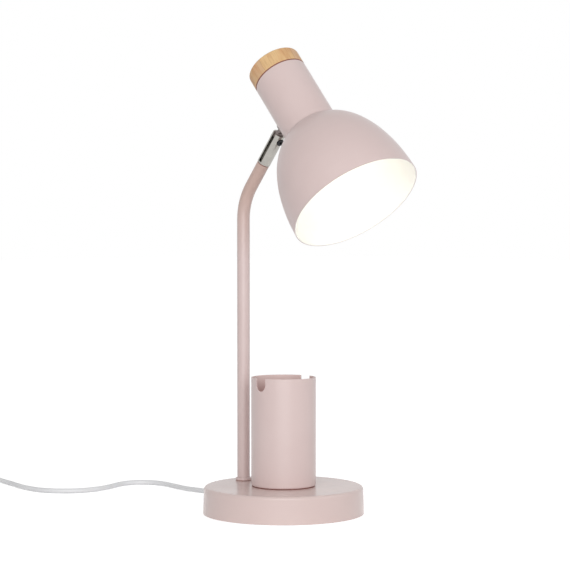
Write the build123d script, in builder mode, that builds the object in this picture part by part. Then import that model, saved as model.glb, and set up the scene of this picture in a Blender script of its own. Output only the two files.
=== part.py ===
from build123d import *
from math import acos, atan2, cos, degrees, hypot, pi, radians, sin, sqrt, tan
import os

# A desk lamp with a pen holder: a weighted round base, a bent stem, a split clamp hinge,
# a spun shade with a wooden cap, and a mains cord with an in-line switch.
# Millimetres. The origin is the centre of the underside, +Z is up, and the lamp leans and
# shines towards +X. The lamp is symmetrical about the XZ plane, apart from its cord.

# Fits: all of these are clearances on the radius
SCREW_CLEARANCE = 0.2
THREAD_GAP = 0.05
NIPPLE_CLEARANCE = 0.15
CABLE_GAP = 0.3

# Base
BASE_DIA = 150.0
BASE_TAPER = 0.75
BASE_HEIGHT = 25.5
BASE_EDGE_RADIUS = 2.8
SHELL_WALL = 1.5
SHELL_LIFT = 0.4
PAD_THICKNESS = 2.0
PAD_INSET = 6.0
PAD_WIDTH = 16.0
PLATE_THICKNESS = 1.5
PLATE_GAP = 0.3
PLATE_SCREW_COUNT = 3
PLATE_SCREW_INSET = 31.0
PLATE_SCREW_DIA = 4.0
PLATE_SCREW_HEAD = 1.5
PLATE_SCREW_GRIP = 8.5
SCREW_SLOT = 0.9
SCREW_SLOT_DEPTH = 0.9
SCREW_TIP_SPACE = 1.0
WEIGHT_GAP = 8.0
POCKET_WIDTH = 22.0
POCKET_PAST_STEM = 46.0
POCKET_COVER = 6.5

# Stem
STEM_DIA = 12.0
STEM_WALL = 1.0
STEM_INSET = 21.0
STEM_CORNER_Z = 291.0
STEM_LEAN = 38.0
STEM_BEND_RADIUS = 50.0
ARM_LENGTH = 44.8
COLLAR_DIA = 15.0
COLLAR_HEIGHT = 3.0
COLLAR_EDGE_RADIUS = 0.8
COLLAR_FOOT_CHAMFER = 0.4
COLLAR_GAP = 0.05
NIPPLE_DIA = 9.9
NIPPLE_BORE = 6.5
NIPPLE_ABOVE = 14.0
NIPPLE_SHOW = 0.5
NUT_ACROSS = 14.0
NUT_HEIGHT = 3.0
WASHER_THICKNESS = 1.0
WASHER_DIA = 18.0

# Pen cup
CUP_DIA = 60.2
CUP_HEIGHT = 101.0
CUP_WALL = 1.0
CUP_FLOOR = 1.2
CUP_RIM_RADIUS = 0.4
CUP_FOOT_RADIUS = 1.5
NOTCH_WIDTH = 11.5
NOTCH_DEPTH = 12.0
GASKET_THICKNESS = 0.6
GASKET_INSET = 0.8
GASKET_WIDTH = 6.0
CUP_SCREW_SPACING = 26.0
CUP_SCREW_DIA = 4.0
CUP_SCREW_HEAD = 2.4
CUP_SCREW_GRIP = 12.0

# Hinge
CLAMP_DIA = 12.7
CLAMP_LENGTH = 34.3
CLAMP_SLOT = 3.5
CLAMP_CHAMFER = 0.5
SLOT_FLOOR = 2.0
SPIGOT_LENGTH = 14.0
SPIGOT_GAP = 0.05
SPIGOT_BORE = 4.4
BARREL_DIA = 7.0
BARREL_LENGTH = 9.0
BARREL_END_GAP = 0.1
BARREL_GAP = 0.05
TIP_ABOVE_AXIS = 1.1
CLAMP_SCREW_MARGIN = 0.15
CLAMP_SCREW_DIA = 3.0
CLAMP_SCREW_TIP = 0.4
CLAMP_HEAD_DIA = 6.8
CLAMP_HEAD_DEPTH = 1.6
CLAMP_HEAD_PROUD = 0.6
CLAMP_HEAD_EDGE = 0.4
CLAMP_SOCKET = 2.5
CLAMP_SOCKET_DEPTH = 1.2
CLAMP_NUT_ACROSS = 5.5
CLAMP_NUT_DEPTH = 2.15
CLAMP_NUT_HEIGHT = 2.0
LUG_THICKNESS = 3.7
LUG_EDGE_RADIUS = 1.1
LUG_WIDTH = 8.8
LUG_BORE = 2.4
LUG_FLARE = 6.0
LUG_FLARE_DEPTH = 1.4
SADDLE_DIA = 15.0
SADDLE_THICKNESS = 1.6
SADDLE_GAP = 0.02
STUD_DIA = 8.0
STUD_INSIDE = 4.3
LUG_WASHER_DIA = 14.0
LUG_WASHER_THICKNESS = 1.6
LUG_NUT_ACROSS = 12.0
LUG_NUT_HEIGHT = 2.4

# Head
HEAD_TILT = 39.2
NECK_DIA = 50.9
NECK_LENGTH = 63.8
NECK_EDGE_RADIUS = 0.9
CREASE_RADIUS = 2.5
MOUTH_DIA = 122.8
HEAD_LENGTH = 150.7
SHADE_WALL = 1.0
DOME_FULLNESS = 2.5
DOME_ROUNDNESS = 2.0
DOME_SPANS = 5
KNUCKLE_ALONG_NECK = 38.8
KNUCKLE_FROM_NECK = 9.4
CAP_HEIGHT = 15.5
CAP_EDGE_RADIUS = 1.6
CAP_JOINT_CHAMFER = 0.5
CAP_RECESS_DIA = 30.0
CAP_RECESS_DEPTH = 7.0
CAP_SCREW_SPACING = 38.0
CAP_SCREW_DIA = 3.0
CAP_SCREW_HEAD = 1.6
CAP_SCREW_GRIP = 8.0

# Lampholder and bulb
HOLDER_DIA = 28.0
HOLDER_LENGTH = 44.0
HOLDER_NECK_DIA = 20.0
HOLDER_COLLAR = 8.0
HOLDER_CONE = 6.0
HOLDER_WALL = 3.0
HOLDER_NIPPLE_LENGTH = 8.0
SOCKET_DIA = 17.2
SOCKET_DEPTH = 24.0
CHAMBER_DIA = 14.0
CABLE_ENTRY = 2.0
SLEEVE_GAP = 0.7
SLEEVE_WALL = 0.6
SLEEVE_LENGTH = 19.0
CONTACT_DIA = 5.0
CONTACT_HEIGHT = 3.0
BULB_DIA = 45.0
BULB_LENGTH = 78.2
BULB_CAP_LENGTH = 21.0
BULB_GAP = 0.4
BULB_TIP_CONE = 3.0
BULB_CAP_SHOULDER = 1.0
BULB_NECK_DIA = 13.2
GLASS_WALL = 0.8

# Inner cable
INNER_CABLE_DIA = 2.2
CABLE_BASE_BEND = 8.0
CABLE_HINGE_BEND = 20.0
CABLE_SIDESTEP = 3.1
CABLE_SIDESTEP_RUN = 9.0
CABLE_SIDESTEP_DROP = 6.5
CABLE_RUN_BEND = 4.0
CABLE_TAIL = 2.0

# Cord, switch and plug
CORD_DIA = 5.0
CORD_LIFT = 0.1
CORD_EXIT_Z = 9.5
GRIP_LENGTH = 25.0
GRIP_ROOT_DIA = 10.5
GRIP_TIP_DIA = 7.0
GRIP_FLANGE = 1.5
GRIP_FLANGE_DIA = 11.6
GRIP_GROOVE_DIA = 9.0
GRIP_CLEARANCE = 0.05
GRIP_RIB_COUNT = 6
GRIP_RIB_PITCH = 3.0
GRIP_RIB_DEPTH = 1.5
GRIP_RIB_MIDDLE = 13.0
SWITCH_LENGTH = 62.0
SWITCH_FLANK = 34.0
SWITCH_FLANK_RADIUS = 12.0
SWITCH_NOSE_WIDTH = 11.0
SWITCH_WIDTH = 25.0
SWITCH_HEIGHT = 16.0
SWITCH_SPLIT_Z = 7.0
SWITCH_FOOT = 0.1
SWITCH_WALL = 2.0
SWITCH_BASE_RADIUS = 1.2
SWITCH_COVER_RADIUS = 1.8
SWITCH_INLET_X = -392.0
SWITCH_Y = -66.0
TAIL_LENGTH = 33.0
TAIL_RUN_OUT = 11.0
TAIL_RUN_IN = 10.0
SWITCH_SCREW_X = 17.0
SWITCH_SCREW_Y = 6.0
SWITCH_SCREW_DIA = 2.5
SWITCH_SCREW_HEAD = 1.5
SWITCH_SCREW_LENGTH = 11.0
SWITCH_BOSS_DIA = 6.0
ROCKER_LENGTH = 21.2
ROCKER_WIDTH = 11.0
ROCKER_TIP = 9.0
ROCKER_GAP = 0.3
ROCKER_PIVOT_DROP = 3.0
ROCKER_PROUD = 0.2
ROCKER_BELOW = 2.5
PIVOT_DIA = 2.4
PIVOT_GAP = 0.05
PIVOT_EAR = 2.8
EAR_THICKNESS = 1.6
COIL_TURNS = 6.5
TURN_BACK_SPAN = 0.5
COIL_OUTER_RADIUS = 38.0
COIL_PITCH = 5.6
COIL_SIDESTEP = 0.6
TIE_WIDTH = 9.0
TIE_THICKNESS = 0.6
TIE_GAP = 0.1
TIE_SLACK = 0.3
TIE_FLAP = 12.0
PLUG_REACH = 41.0
PLUG_SIDESTEP = 1.6
PLUG_RUN_OUT = 13.0
PLUG_RUN_IN = 12.0
PLUG_LIFT = 0.1
PLUG_GUARD = 14.0
PLUG_GUARD_DIA = 8.0
PLUG_GUARD_ROOT = 1.0
PLUG_LENGTH = 36.0
PLUG_FLARE_LENGTH = 27.0
PLUG_WIDTH = 35.3
PLUG_NECK_WIDTH = 14.0
PLUG_HEIGHT = 13.7
PLUG_EDGE_RADIUS = 2.0
PLUG_CORNER_RADIUS = 4.0
PIN_DIA = 4.0
PIN_SPACING = 19.0
PIN_LENGTH = 19.0

# Heights of the base's layers, from the table up, and places within its edge
BASE_RADIUS = BASE_DIA / 2
BASE_TOP_RADIUS = BASE_RADIUS - BASE_TAPER
PAD_RADIUS = BASE_RADIUS - PAD_INSET
PLATE_SCREW_RADIUS = BASE_RADIUS - PLATE_SCREW_INSET
STEM_FOOT_X = STEM_INSET - BASE_RADIUS
POCKET_END_X = STEM_FOOT_X + POCKET_PAST_STEM
PLATE_Z = PAD_THICKNESS
WEIGHT_Z = PLATE_Z + PLATE_THICKNESS
SHELL_TOP_Z = BASE_HEIGHT
SHELL_ROOF_Z = BASE_HEIGHT - SHELL_WALL
POCKET_ROOF_Z = SHELL_ROOF_Z - POCKET_COVER
CUP_Z = SHELL_TOP_Z + GASKET_THICKNESS
CUP_RIM_Z = CUP_Z + CUP_HEIGHT
CUP_RADIUS = CUP_DIA / 2
NIPPLE_END_Z = POCKET_ROOF_Z - WASHER_THICKNESS - NUT_HEIGHT - NIPPLE_SHOW

# The stem's bent line, and the planes of its arm, of the head and of the knuckle
LEAN_X, LEAN_Z = sin(radians(STEM_LEAN)), cos(radians(STEM_LEAN))
STEM_CORNER = Vector(STEM_FOOT_X, 0, STEM_CORNER_Z)
ARM_END = STEM_CORNER + Vector(LEAN_X, 0, LEAN_Z) * ARM_LENGTH
CLAMP_PLANE = Plane(origin=ARM_END, x_dir=(LEAN_Z, 0, -LEAN_X), z_dir=(LEAN_X, 0, LEAN_Z))
CLAMP_FRONT = Axis(ARM_END, CLAMP_PLANE.x_dir)
BARREL_Z = CLAMP_LENGTH - TIP_ABOVE_AXIS
BARREL_FIT_RADIUS = BARREL_DIA / 2 + BARREL_GAP
CLAMP_SCREW_Z = BARREL_Z - BARREL_FIT_RADIUS - CLAMP_SCREW_MARGIN - CLAMP_SCREW_DIA / 2
KNUCKLE = ARM_END + Vector(LEAN_X, 0, LEAN_Z) * BARREL_Z
TILT_X, TILT_Z = sin(radians(HEAD_TILT)), cos(radians(HEAD_TILT))
ALONG_HEAD = Vector(TILT_X, 0, -TILT_Z)
BEHIND_HEAD = Vector(-TILT_Z, 0, -TILT_X)
NECK_RADIUS = NECK_DIA / 2
NECK_BORE_RADIUS = NECK_RADIUS - SHADE_WALL
HEAD_ORIGIN = KNUCKLE - ALONG_HEAD * KNUCKLE_ALONG_NECK - BEHIND_HEAD * (NECK_RADIUS + KNUCKLE_FROM_NECK)
HEAD_PLANE = Plane(origin=HEAD_ORIGIN, x_dir=BEHIND_HEAD, z_dir=ALONG_HEAD)
HEAD_PROFILE = Plane(origin=HEAD_ORIGIN, x_dir=BEHIND_HEAD, z_dir=(0, -1, 0))
LUG_PLANE = Plane(origin=KNUCKLE, x_dir=ALONG_HEAD, z_dir=BEHIND_HEAD * -1)
HEAD_AXIS = Axis(HEAD_ORIGIN, ALONG_HEAD)

os.makedirs("parts", exist_ok=True)


def save(builder, node_name):
    """Label a finished piece and write it under its node's name."""
    builder.part.label = node_name
    export_step(builder.part, f"parts/{node_name}.step")


def corner_radii(points, most=1e9):
    """Radii of a free cord's bends: 0.45 of the shorter run over the tangent of half the turn."""
    radii = []
    for before, corner, after in zip(points, points[1:], points[2:]):
        run_in, run_out = Vector(*corner) - Vector(*before), Vector(*after) - Vector(*corner)
        half_turn = radians(run_in.get_angle(run_out)) / 2
        radii.append(min(most, 0.45 * min(run_in.length, run_out.length) / tan(half_turn)))
    return radii


def plane_along(start, towards):
    """A plane at start whose normal looks towards the next point."""
    return Plane(origin=start, z_dir=Vector(*towards) - Vector(*start))


def biarc(start, start_heading, end, end_heading):
    """Two tangent arcs from one point and heading to another, drawn inside a BuildLine."""
    chord, both = end - start, start_heading + end_heading
    spread = 2 * (1 - start_heading.dot(end_heading))
    reach = (sqrt(chord.dot(both) ** 2 + spread * chord.dot(chord)) - chord.dot(both)) / spread
    first_knee, second_knee = start + start_heading * reach, end - end_heading * reach
    middle = (first_knee + second_knee) * 0.5
    TangentArc(start, middle, tangent=start_heading)
    TangentArc(middle, end, tangent=(second_knee - first_knee).normalized())


def base_outline(inset, bottom_z, top_z, edge_radius):
    """Half profile of the drafted drum of the base, drawn inside a BuildSketch on Plane.XZ."""
    bottom_radius, top_radius = BASE_RADIUS - inset, BASE_TOP_RADIUS - inset
    Polygon(
        (0, bottom_z), (bottom_radius, bottom_z), (top_radius, top_z), (0, top_z), align=None
    )
    if edge_radius > 0:
        fillet(vertices().sort_by(Axis.X).group_by(Axis.Y)[-1].sort_by(Axis.X)[-1], edge_radius)


# Base: spun steel shell, cast iron weight, bottom plate with screws, foot pad
with BuildPart() as base_shell:
    with BuildSketch(Plane.XZ):
        base_outline(0, SHELL_LIFT, SHELL_TOP_Z, BASE_EDGE_RADIUS)
    revolve(axis=Axis.Z)
    with BuildSketch(Plane.XZ):
        base_outline(SHELL_WALL, 0, SHELL_ROOF_Z, BASE_EDGE_RADIUS - SHELL_WALL)
    revolve(axis=Axis.Z, mode=Mode.SUBTRACT)
    with BuildSketch(Plane.XY.offset(SHELL_TOP_Z)):
        with Locations((STEM_FOOT_X, 0)):
            Circle(NIPPLE_DIA / 2 + NIPPLE_CLEARANCE)
        with GridLocations(0, CUP_SCREW_SPACING, 1, 2):
            Circle(CUP_SCREW_DIA / 2 + SCREW_CLEARANCE)
    extrude(amount=-2 * SHELL_WALL, mode=Mode.SUBTRACT)
    with BuildSketch(Plane.YZ.offset(-BASE_RADIUS)):
        with Locations((0, CORD_EXIT_Z)):
            Circle(GRIP_GROOVE_DIA / 2 + GRIP_CLEARANCE)
    extrude(amount=3 * SHELL_WALL, both=True, mode=Mode.SUBTRACT)
save(base_shell, "base_shell")

with BuildPart() as base_weight:
    with BuildSketch(Plane.XZ):
        base_outline(SHELL_WALL + WEIGHT_GAP, WEIGHT_Z, SHELL_ROOF_Z, BASE_EDGE_RADIUS)
    revolve(axis=Axis.Z)
    with BuildSketch(Plane.XY.offset(WEIGHT_Z)):
        with Locations((-BASE_RADIUS, 0)):
            Rectangle(BASE_RADIUS + POCKET_END_X, POCKET_WIDTH, align=(Align.MIN, Align.CENTER))
    extrude(amount=POCKET_ROOF_Z - WEIGHT_Z, mode=Mode.SUBTRACT)
    with BuildSketch(Plane.XY.offset(SHELL_ROOF_Z)):
        with Locations((STEM_FOOT_X, 0)):
            Circle(NIPPLE_DIA / 2 + NIPPLE_CLEARANCE)
    extrude(amount=-POCKET_COVER, mode=Mode.SUBTRACT)
    with BuildSketch(Plane.XY.offset(SHELL_ROOF_Z)):
        with GridLocations(0, CUP_SCREW_SPACING, 1, 2):
            Circle(CUP_SCREW_DIA / 2 + THREAD_GAP)
    extrude(amount=-CUP_SCREW_GRIP - SCREW_TIP_SPACE, mode=Mode.SUBTRACT)
    with BuildSketch(Plane.XY.offset(WEIGHT_Z)):
        with PolarLocations(PLATE_SCREW_RADIUS, PLATE_SCREW_COUNT):
            Circle(PLATE_SCREW_DIA / 2 + THREAD_GAP)
    extrude(amount=PLATE_SCREW_GRIP + SCREW_TIP_SPACE, mode=Mode.SUBTRACT)
save(base_weight, "base_weight")

with BuildPart() as base_plate:
    with BuildSketch(Plane.XY.offset(PLATE_Z)):
        Circle(BASE_RADIUS - SHELL_WALL - PLATE_GAP)
        with PolarLocations(PLATE_SCREW_RADIUS, PLATE_SCREW_COUNT):
            Circle(PLATE_SCREW_DIA / 2 + SCREW_CLEARANCE, mode=Mode.SUBTRACT)
    extrude(amount=PLATE_THICKNESS)
save(base_plate, "base_plate")

with BuildPart() as plate_screws:
    with BuildSketch(Plane.XY.offset(PLATE_Z - PLATE_SCREW_HEAD)):
        with PolarLocations(PLATE_SCREW_RADIUS, PLATE_SCREW_COUNT):
            Circle(PLATE_SCREW_DIA)
    extrude(amount=PLATE_SCREW_HEAD)
    fillet(edges().group_by(Axis.Z)[0], PLATE_SCREW_HEAD / 2)
    with BuildSketch(Plane.XY.offset(PLATE_Z)):
        with PolarLocations(PLATE_SCREW_RADIUS, PLATE_SCREW_COUNT):
            Circle(PLATE_SCREW_DIA / 2)
    extrude(amount=PLATE_THICKNESS + PLATE_SCREW_GRIP)
    with BuildSketch(Plane.XY.offset(PLATE_Z - PLATE_SCREW_HEAD)):
        with PolarLocations(PLATE_SCREW_RADIUS, PLATE_SCREW_COUNT):
            Rectangle(PLATE_SCREW_DIA, SCREW_SLOT)
            Rectangle(SCREW_SLOT, PLATE_SCREW_DIA)
    extrude(amount=SCREW_SLOT_DEPTH, mode=Mode.SUBTRACT)
save(plate_screws, "plate_screws")

with BuildPart() as foot_pad:
    with BuildSketch():
        Circle(PAD_RADIUS)
        Circle(PAD_RADIUS - PAD_WIDTH, mode=Mode.SUBTRACT)
    extrude(amount=PAD_THICKNESS)
save(foot_pad, "foot_pad")

# Pen cup: a drawn tumbler with two opposite U notches, on a gasket, held by two screws
with BuildPart() as cup_gasket:
    with BuildSketch(Plane.XY.offset(SHELL_TOP_Z)):
        Circle(CUP_RADIUS - GASKET_INSET)
        Circle(CUP_RADIUS - GASKET_INSET - GASKET_WIDTH, mode=Mode.SUBTRACT)
    extrude(amount=GASKET_THICKNESS)
save(cup_gasket, "cup_gasket")

with BuildPart() as pen_cup:
    with BuildSketch(Plane.XZ):
        with BuildLine():
            Polyline(
                (0, CUP_Z), (CUP_RADIUS, CUP_Z), (CUP_RADIUS, CUP_RIM_Z),
                (CUP_RADIUS - CUP_WALL, CUP_RIM_Z), (CUP_RADIUS - CUP_WALL, CUP_Z + CUP_FLOOR),
                (0, CUP_Z + CUP_FLOOR), close=True,
            )
        make_face()
        fillet(vertices().group_by(Axis.Y)[-1], CUP_RIM_RADIUS)
        fillet(vertices().sort_by_distance((CUP_RADIUS, CUP_Z))[0], CUP_FOOT_RADIUS)
        fillet(
            vertices().sort_by_distance((CUP_RADIUS - CUP_WALL, CUP_Z + CUP_FLOOR))[0],
            CUP_FOOT_RADIUS - CUP_WALL,
        )
    revolve(axis=Axis.Z)
    with BuildSketch(Plane.XZ):
        with Locations((0, CUP_RIM_Z - NOTCH_DEPTH + NOTCH_WIDTH / 2)):
            Circle(NOTCH_WIDTH / 2)
            Rectangle(NOTCH_WIDTH, NOTCH_DEPTH, align=(Align.CENTER, Align.MIN))
    extrude(amount=CUP_DIA, both=True, mode=Mode.SUBTRACT)
    with BuildSketch(Plane.XY.offset(CUP_Z)):
        with GridLocations(0, CUP_SCREW_SPACING, 1, 2):
            Circle(CUP_SCREW_DIA / 2 + SCREW_CLEARANCE)
    extrude(amount=CUP_FLOOR, mode=Mode.SUBTRACT)
save(pen_cup, "pen_cup")

with BuildPart() as cup_screws:
    with BuildSketch(Plane.XY.offset(CUP_Z + CUP_FLOOR)):
        with GridLocations(0, CUP_SCREW_SPACING, 1, 2):
            Circle(CUP_SCREW_DIA)
    extrude(amount=CUP_SCREW_HEAD)
    fillet(edges().group_by(Axis.Z)[-1], CUP_SCREW_HEAD / 2)
    with BuildSketch(Plane.XY.offset(CUP_Z + CUP_FLOOR)):
        with GridLocations(0, CUP_SCREW_SPACING, 1, 2):
            Circle(CUP_SCREW_DIA / 2)
    extrude(amount=SHELL_ROOF_Z - CUP_SCREW_GRIP - CUP_Z - CUP_FLOOR)
    with BuildSketch(Plane.XY.offset(CUP_Z + CUP_FLOOR + CUP_SCREW_HEAD)):
        with GridLocations(0, CUP_SCREW_SPACING, 1, 2):
            Rectangle(CUP_SCREW_DIA, SCREW_SLOT)
            Rectangle(SCREW_SLOT, CUP_SCREW_DIA)
    extrude(amount=-SCREW_SLOT_DEPTH, mode=Mode.SUBTRACT)
save(cup_screws, "cup_screws")

# Stem: bent tube on a threaded nipple, with a collar, washer and nut
with BuildPart() as stem_collar:
    with BuildSketch(Plane.XY.offset(SHELL_TOP_Z)):
        with Locations((STEM_FOOT_X, 0)):
            Circle(COLLAR_DIA / 2)
    extrude(amount=COLLAR_HEIGHT)
    fillet(edges().group_by(Axis.Z)[-1], COLLAR_EDGE_RADIUS)
    chamfer(edges().group_by(Axis.Z)[0], COLLAR_FOOT_CHAMFER)
    with BuildSketch(Plane.XY.offset(SHELL_TOP_Z)):
        with Locations((STEM_FOOT_X, 0)):
            Circle(STEM_DIA / 2 + COLLAR_GAP)
    extrude(amount=COLLAR_HEIGHT, mode=Mode.SUBTRACT)
save(stem_collar, "stem_collar")

STEM_FOOT = Vector(STEM_FOOT_X, 0, SHELL_TOP_Z)
with BuildPart() as stem_tube:
    with BuildLine() as stem_line:
        FilletPolyline(STEM_FOOT, STEM_CORNER, ARM_END, radius=STEM_BEND_RADIUS)
    with BuildSketch(Plane(origin=STEM_FOOT, z_dir=(0, 0, 1))):
        Circle(STEM_DIA / 2)
        Circle(STEM_DIA / 2 - STEM_WALL, mode=Mode.SUBTRACT)
    sweep(path=stem_line.line)
save(stem_tube, "stem_tube")

with BuildPart() as stem_nipple:
    with BuildSketch(Plane(origin=(STEM_FOOT_X, 0, NIPPLE_END_Z), z_dir=(0, 0, 1))):
        Circle(NIPPLE_DIA / 2)
        Circle(NIPPLE_BORE / 2, mode=Mode.SUBTRACT)
    extrude(amount=SHELL_TOP_Z + NIPPLE_ABOVE - NIPPLE_END_Z)
save(stem_nipple, "stem_nipple")

with BuildPart() as stem_washer:
    with BuildSketch(Plane(origin=(STEM_FOOT_X, 0, POCKET_ROOF_Z), z_dir=(0, 0, -1))):
        Circle(WASHER_DIA / 2)
        Circle(NIPPLE_DIA / 2 + NIPPLE_CLEARANCE, mode=Mode.SUBTRACT)
    extrude(amount=WASHER_THICKNESS)
save(stem_washer, "stem_washer")

with BuildPart() as stem_nut:
    with BuildSketch(
        Plane(origin=(STEM_FOOT_X, 0, POCKET_ROOF_Z - WASHER_THICKNESS), z_dir=(0, 0, -1))
    ):
        RegularPolygon(NUT_ACROSS / 2, 6, major_radius=False)
        Circle(NIPPLE_DIA / 2 + THREAD_GAP, mode=Mode.SUBTRACT)
    extrude(amount=NUT_HEIGHT)
save(stem_nut, "stem_nut")

# Hinge: a turned clamp body, slotted into two legs that a screw draws together on the
# knuckle's barrel, which snaps into a socket between them. The barrel, its web, saddle and
# hollow stud are one piece of the head.
with BuildPart() as clamp_body:
    with BuildSketch(CLAMP_PLANE):
        Circle(CLAMP_DIA / 2)
    extrude(amount=CLAMP_LENGTH)
    chamfer(edges().filter_by(GeomType.CIRCLE), CLAMP_CHAMFER)
    with BuildSketch(CLAMP_PLANE):
        Circle(STEM_DIA / 2 - STEM_WALL - SPIGOT_GAP)
    extrude(amount=-SPIGOT_LENGTH)
    with BuildSketch(CLAMP_PLANE.offset(-SPIGOT_LENGTH)):
        Circle(SPIGOT_BORE / 2)
    extrude(amount=SPIGOT_LENGTH + SLOT_FLOOR, mode=Mode.SUBTRACT)
    with BuildSketch(CLAMP_PLANE.offset(SLOT_FLOOR)):
        Rectangle(CLAMP_SLOT, 2 * CLAMP_DIA)
    extrude(amount=CLAMP_LENGTH, mode=Mode.SUBTRACT)
    with BuildSketch(Plane(origin=KNUCKLE, x_dir=CLAMP_PLANE.x_dir, z_dir=(0, 1, 0))):
        Circle(BARREL_FIT_RADIUS)
    extrude(amount=BARREL_LENGTH / 2 + BARREL_END_GAP, both=True, mode=Mode.SUBTRACT)
    with BuildSketch(
        Plane(
            origin=CLAMP_PLANE.from_local_coords((CLAMP_DIA / 2, 0, CLAMP_SCREW_Z)),
            z_dir=CLAMP_PLANE.x_dir,
        )
    ):
        Circle(CLAMP_HEAD_DIA / 2 + SCREW_CLEARANCE)
    extrude(amount=CLAMP_HEAD_DEPTH, both=True, mode=Mode.SUBTRACT)
    with BuildSketch(
        Plane(
            origin=CLAMP_PLANE.from_local_coords((0, 0, CLAMP_SCREW_Z)), z_dir=CLAMP_PLANE.x_dir
        )
    ):
        Circle(CLAMP_SCREW_DIA / 2 + THREAD_GAP)
    extrude(amount=CLAMP_DIA, both=True, mode=Mode.SUBTRACT)
    with BuildSketch(
        Plane(
            origin=CLAMP_PLANE.from_local_coords((-CLAMP_DIA / 2, 0, CLAMP_SCREW_Z)),
            x_dir=CLAMP_PLANE.z_dir,
            z_dir=CLAMP_PLANE.x_dir,
        )
    ):
        RegularPolygon(CLAMP_NUT_ACROSS / 2 + THREAD_GAP, 6, major_radius=False)
    extrude(amount=CLAMP_NUT_DEPTH, both=True, mode=Mode.SUBTRACT)
save(clamp_body, "clamp_body")

CLAMP_HEAD_SEAT = CLAMP_DIA / 2 - CLAMP_HEAD_DEPTH
CLAMP_NUT_SEAT = -CLAMP_DIA / 2 + CLAMP_NUT_DEPTH
with BuildPart() as clamp_screw:
    with BuildSketch(
        Plane(
            origin=CLAMP_PLANE.from_local_coords((CLAMP_HEAD_SEAT, 0, CLAMP_SCREW_Z)),
            z_dir=CLAMP_PLANE.x_dir,
        )
    ):
        Circle(CLAMP_HEAD_DIA / 2)
    extrude(amount=CLAMP_HEAD_DEPTH + CLAMP_HEAD_PROUD)
    fillet(edges().sort_by(CLAMP_FRONT)[-1], CLAMP_HEAD_EDGE)
    with BuildSketch(
        Plane(
            origin=CLAMP_PLANE.from_local_coords((CLAMP_HEAD_SEAT, 0, CLAMP_SCREW_Z)),
            z_dir=CLAMP_PLANE.x_dir * -1,
        )
    ):
        Circle(CLAMP_SCREW_DIA / 2)
    extrude(amount=CLAMP_HEAD_SEAT + CLAMP_DIA / 2 - CLAMP_SCREW_TIP)
    with BuildSketch(
        Plane(
            origin=CLAMP_PLANE.from_local_coords(
                (CLAMP_DIA / 2 + CLAMP_HEAD_PROUD, 0, CLAMP_SCREW_Z)
            ),
            z_dir=CLAMP_PLANE.x_dir * -1,
        )
    ):
        RegularPolygon(CLAMP_SOCKET / 2, 6, major_radius=False)
    extrude(amount=CLAMP_SOCKET_DEPTH, mode=Mode.SUBTRACT)
save(clamp_screw, "clamp_screw")

with BuildPart() as clamp_nut:
    with BuildSketch(
        Plane(
            origin=CLAMP_PLANE.from_local_coords((CLAMP_NUT_SEAT, 0, CLAMP_SCREW_Z)),
            x_dir=CLAMP_PLANE.z_dir,
            z_dir=CLAMP_PLANE.x_dir * -1,
        )
    ):
        RegularPolygon(CLAMP_NUT_ACROSS / 2, 6, major_radius=False)
        Circle(CLAMP_SCREW_DIA / 2 + THREAD_GAP, mode=Mode.SUBTRACT)
    extrude(amount=CLAMP_NUT_HEIGHT)
save(clamp_nut, "clamp_nut")

with BuildPart() as head_lug:
    with BuildSketch(LUG_PLANE):
        RectangleRounded(LUG_THICKNESS, LUG_WIDTH, LUG_EDGE_RADIUS)
    extrude(amount=KNUCKLE_FROM_NECK + SADDLE_THICKNESS)
    with BuildSketch(LUG_PLANE.offset(KNUCKLE_FROM_NECK - SADDLE_THICKNESS)):
        Circle(SADDLE_DIA / 2)
    extrude(amount=2 * SADDLE_THICKNESS)
    with BuildSketch(HEAD_PLANE):
        Circle(NECK_RADIUS + SADDLE_GAP)
    extrude(amount=NECK_LENGTH, mode=Mode.SUBTRACT)
    with BuildSketch(Plane(origin=KNUCKLE, x_dir=LUG_PLANE.x_dir, z_dir=(0, 1, 0))):
        Circle(BARREL_DIA / 2)
    extrude(amount=BARREL_LENGTH / 2, both=True)
    with BuildSketch(LUG_PLANE.offset(KNUCKLE_FROM_NECK - SADDLE_THICKNESS / 2)):
        Circle(STUD_DIA / 2)
    extrude(amount=SADDLE_THICKNESS / 2 + SHADE_WALL + STUD_INSIDE)
    with BuildSketch(LUG_PLANE.offset(-BARREL_DIA)):
        Circle(LUG_BORE / 2)
    extrude(amount=2 * BARREL_DIA + KNUCKLE_FROM_NECK + STUD_INSIDE, mode=Mode.SUBTRACT)
    with BuildSketch(LUG_PLANE.offset(-BARREL_DIA / 2)):
        SlotOverall(LUG_FLARE, LUG_BORE, rotation=90)
    extrude(amount=LUG_FLARE_DEPTH, mode=Mode.SUBTRACT)
save(head_lug, "head_lug")

LUG_WASHER_TOP = KNUCKLE_FROM_NECK + SHADE_WALL + LUG_WASHER_THICKNESS
with BuildPart() as lug_washer:
    with BuildSketch(LUG_PLANE.offset(KNUCKLE_FROM_NECK)):
        Circle(LUG_WASHER_DIA / 2)
        Circle(STUD_DIA / 2 + NIPPLE_CLEARANCE, mode=Mode.SUBTRACT)
    extrude(amount=LUG_WASHER_TOP - KNUCKLE_FROM_NECK)
    with BuildSketch(HEAD_PLANE):
        Circle(NECK_BORE_RADIUS - SADDLE_GAP)
    extrude(amount=NECK_LENGTH + LUG_WASHER_DIA, mode=Mode.INTERSECT)
save(lug_washer, "lug_washer")

with BuildPart() as lug_nut:
    with BuildSketch(LUG_PLANE.offset(LUG_WASHER_TOP)):
        RegularPolygon(LUG_NUT_ACROSS / 2, 6, major_radius=False)
        Circle(STUD_DIA / 2 + THREAD_GAP, mode=Mode.SUBTRACT)
    extrude(amount=LUG_NUT_HEIGHT)
save(lug_nut, "lug_nut")

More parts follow.
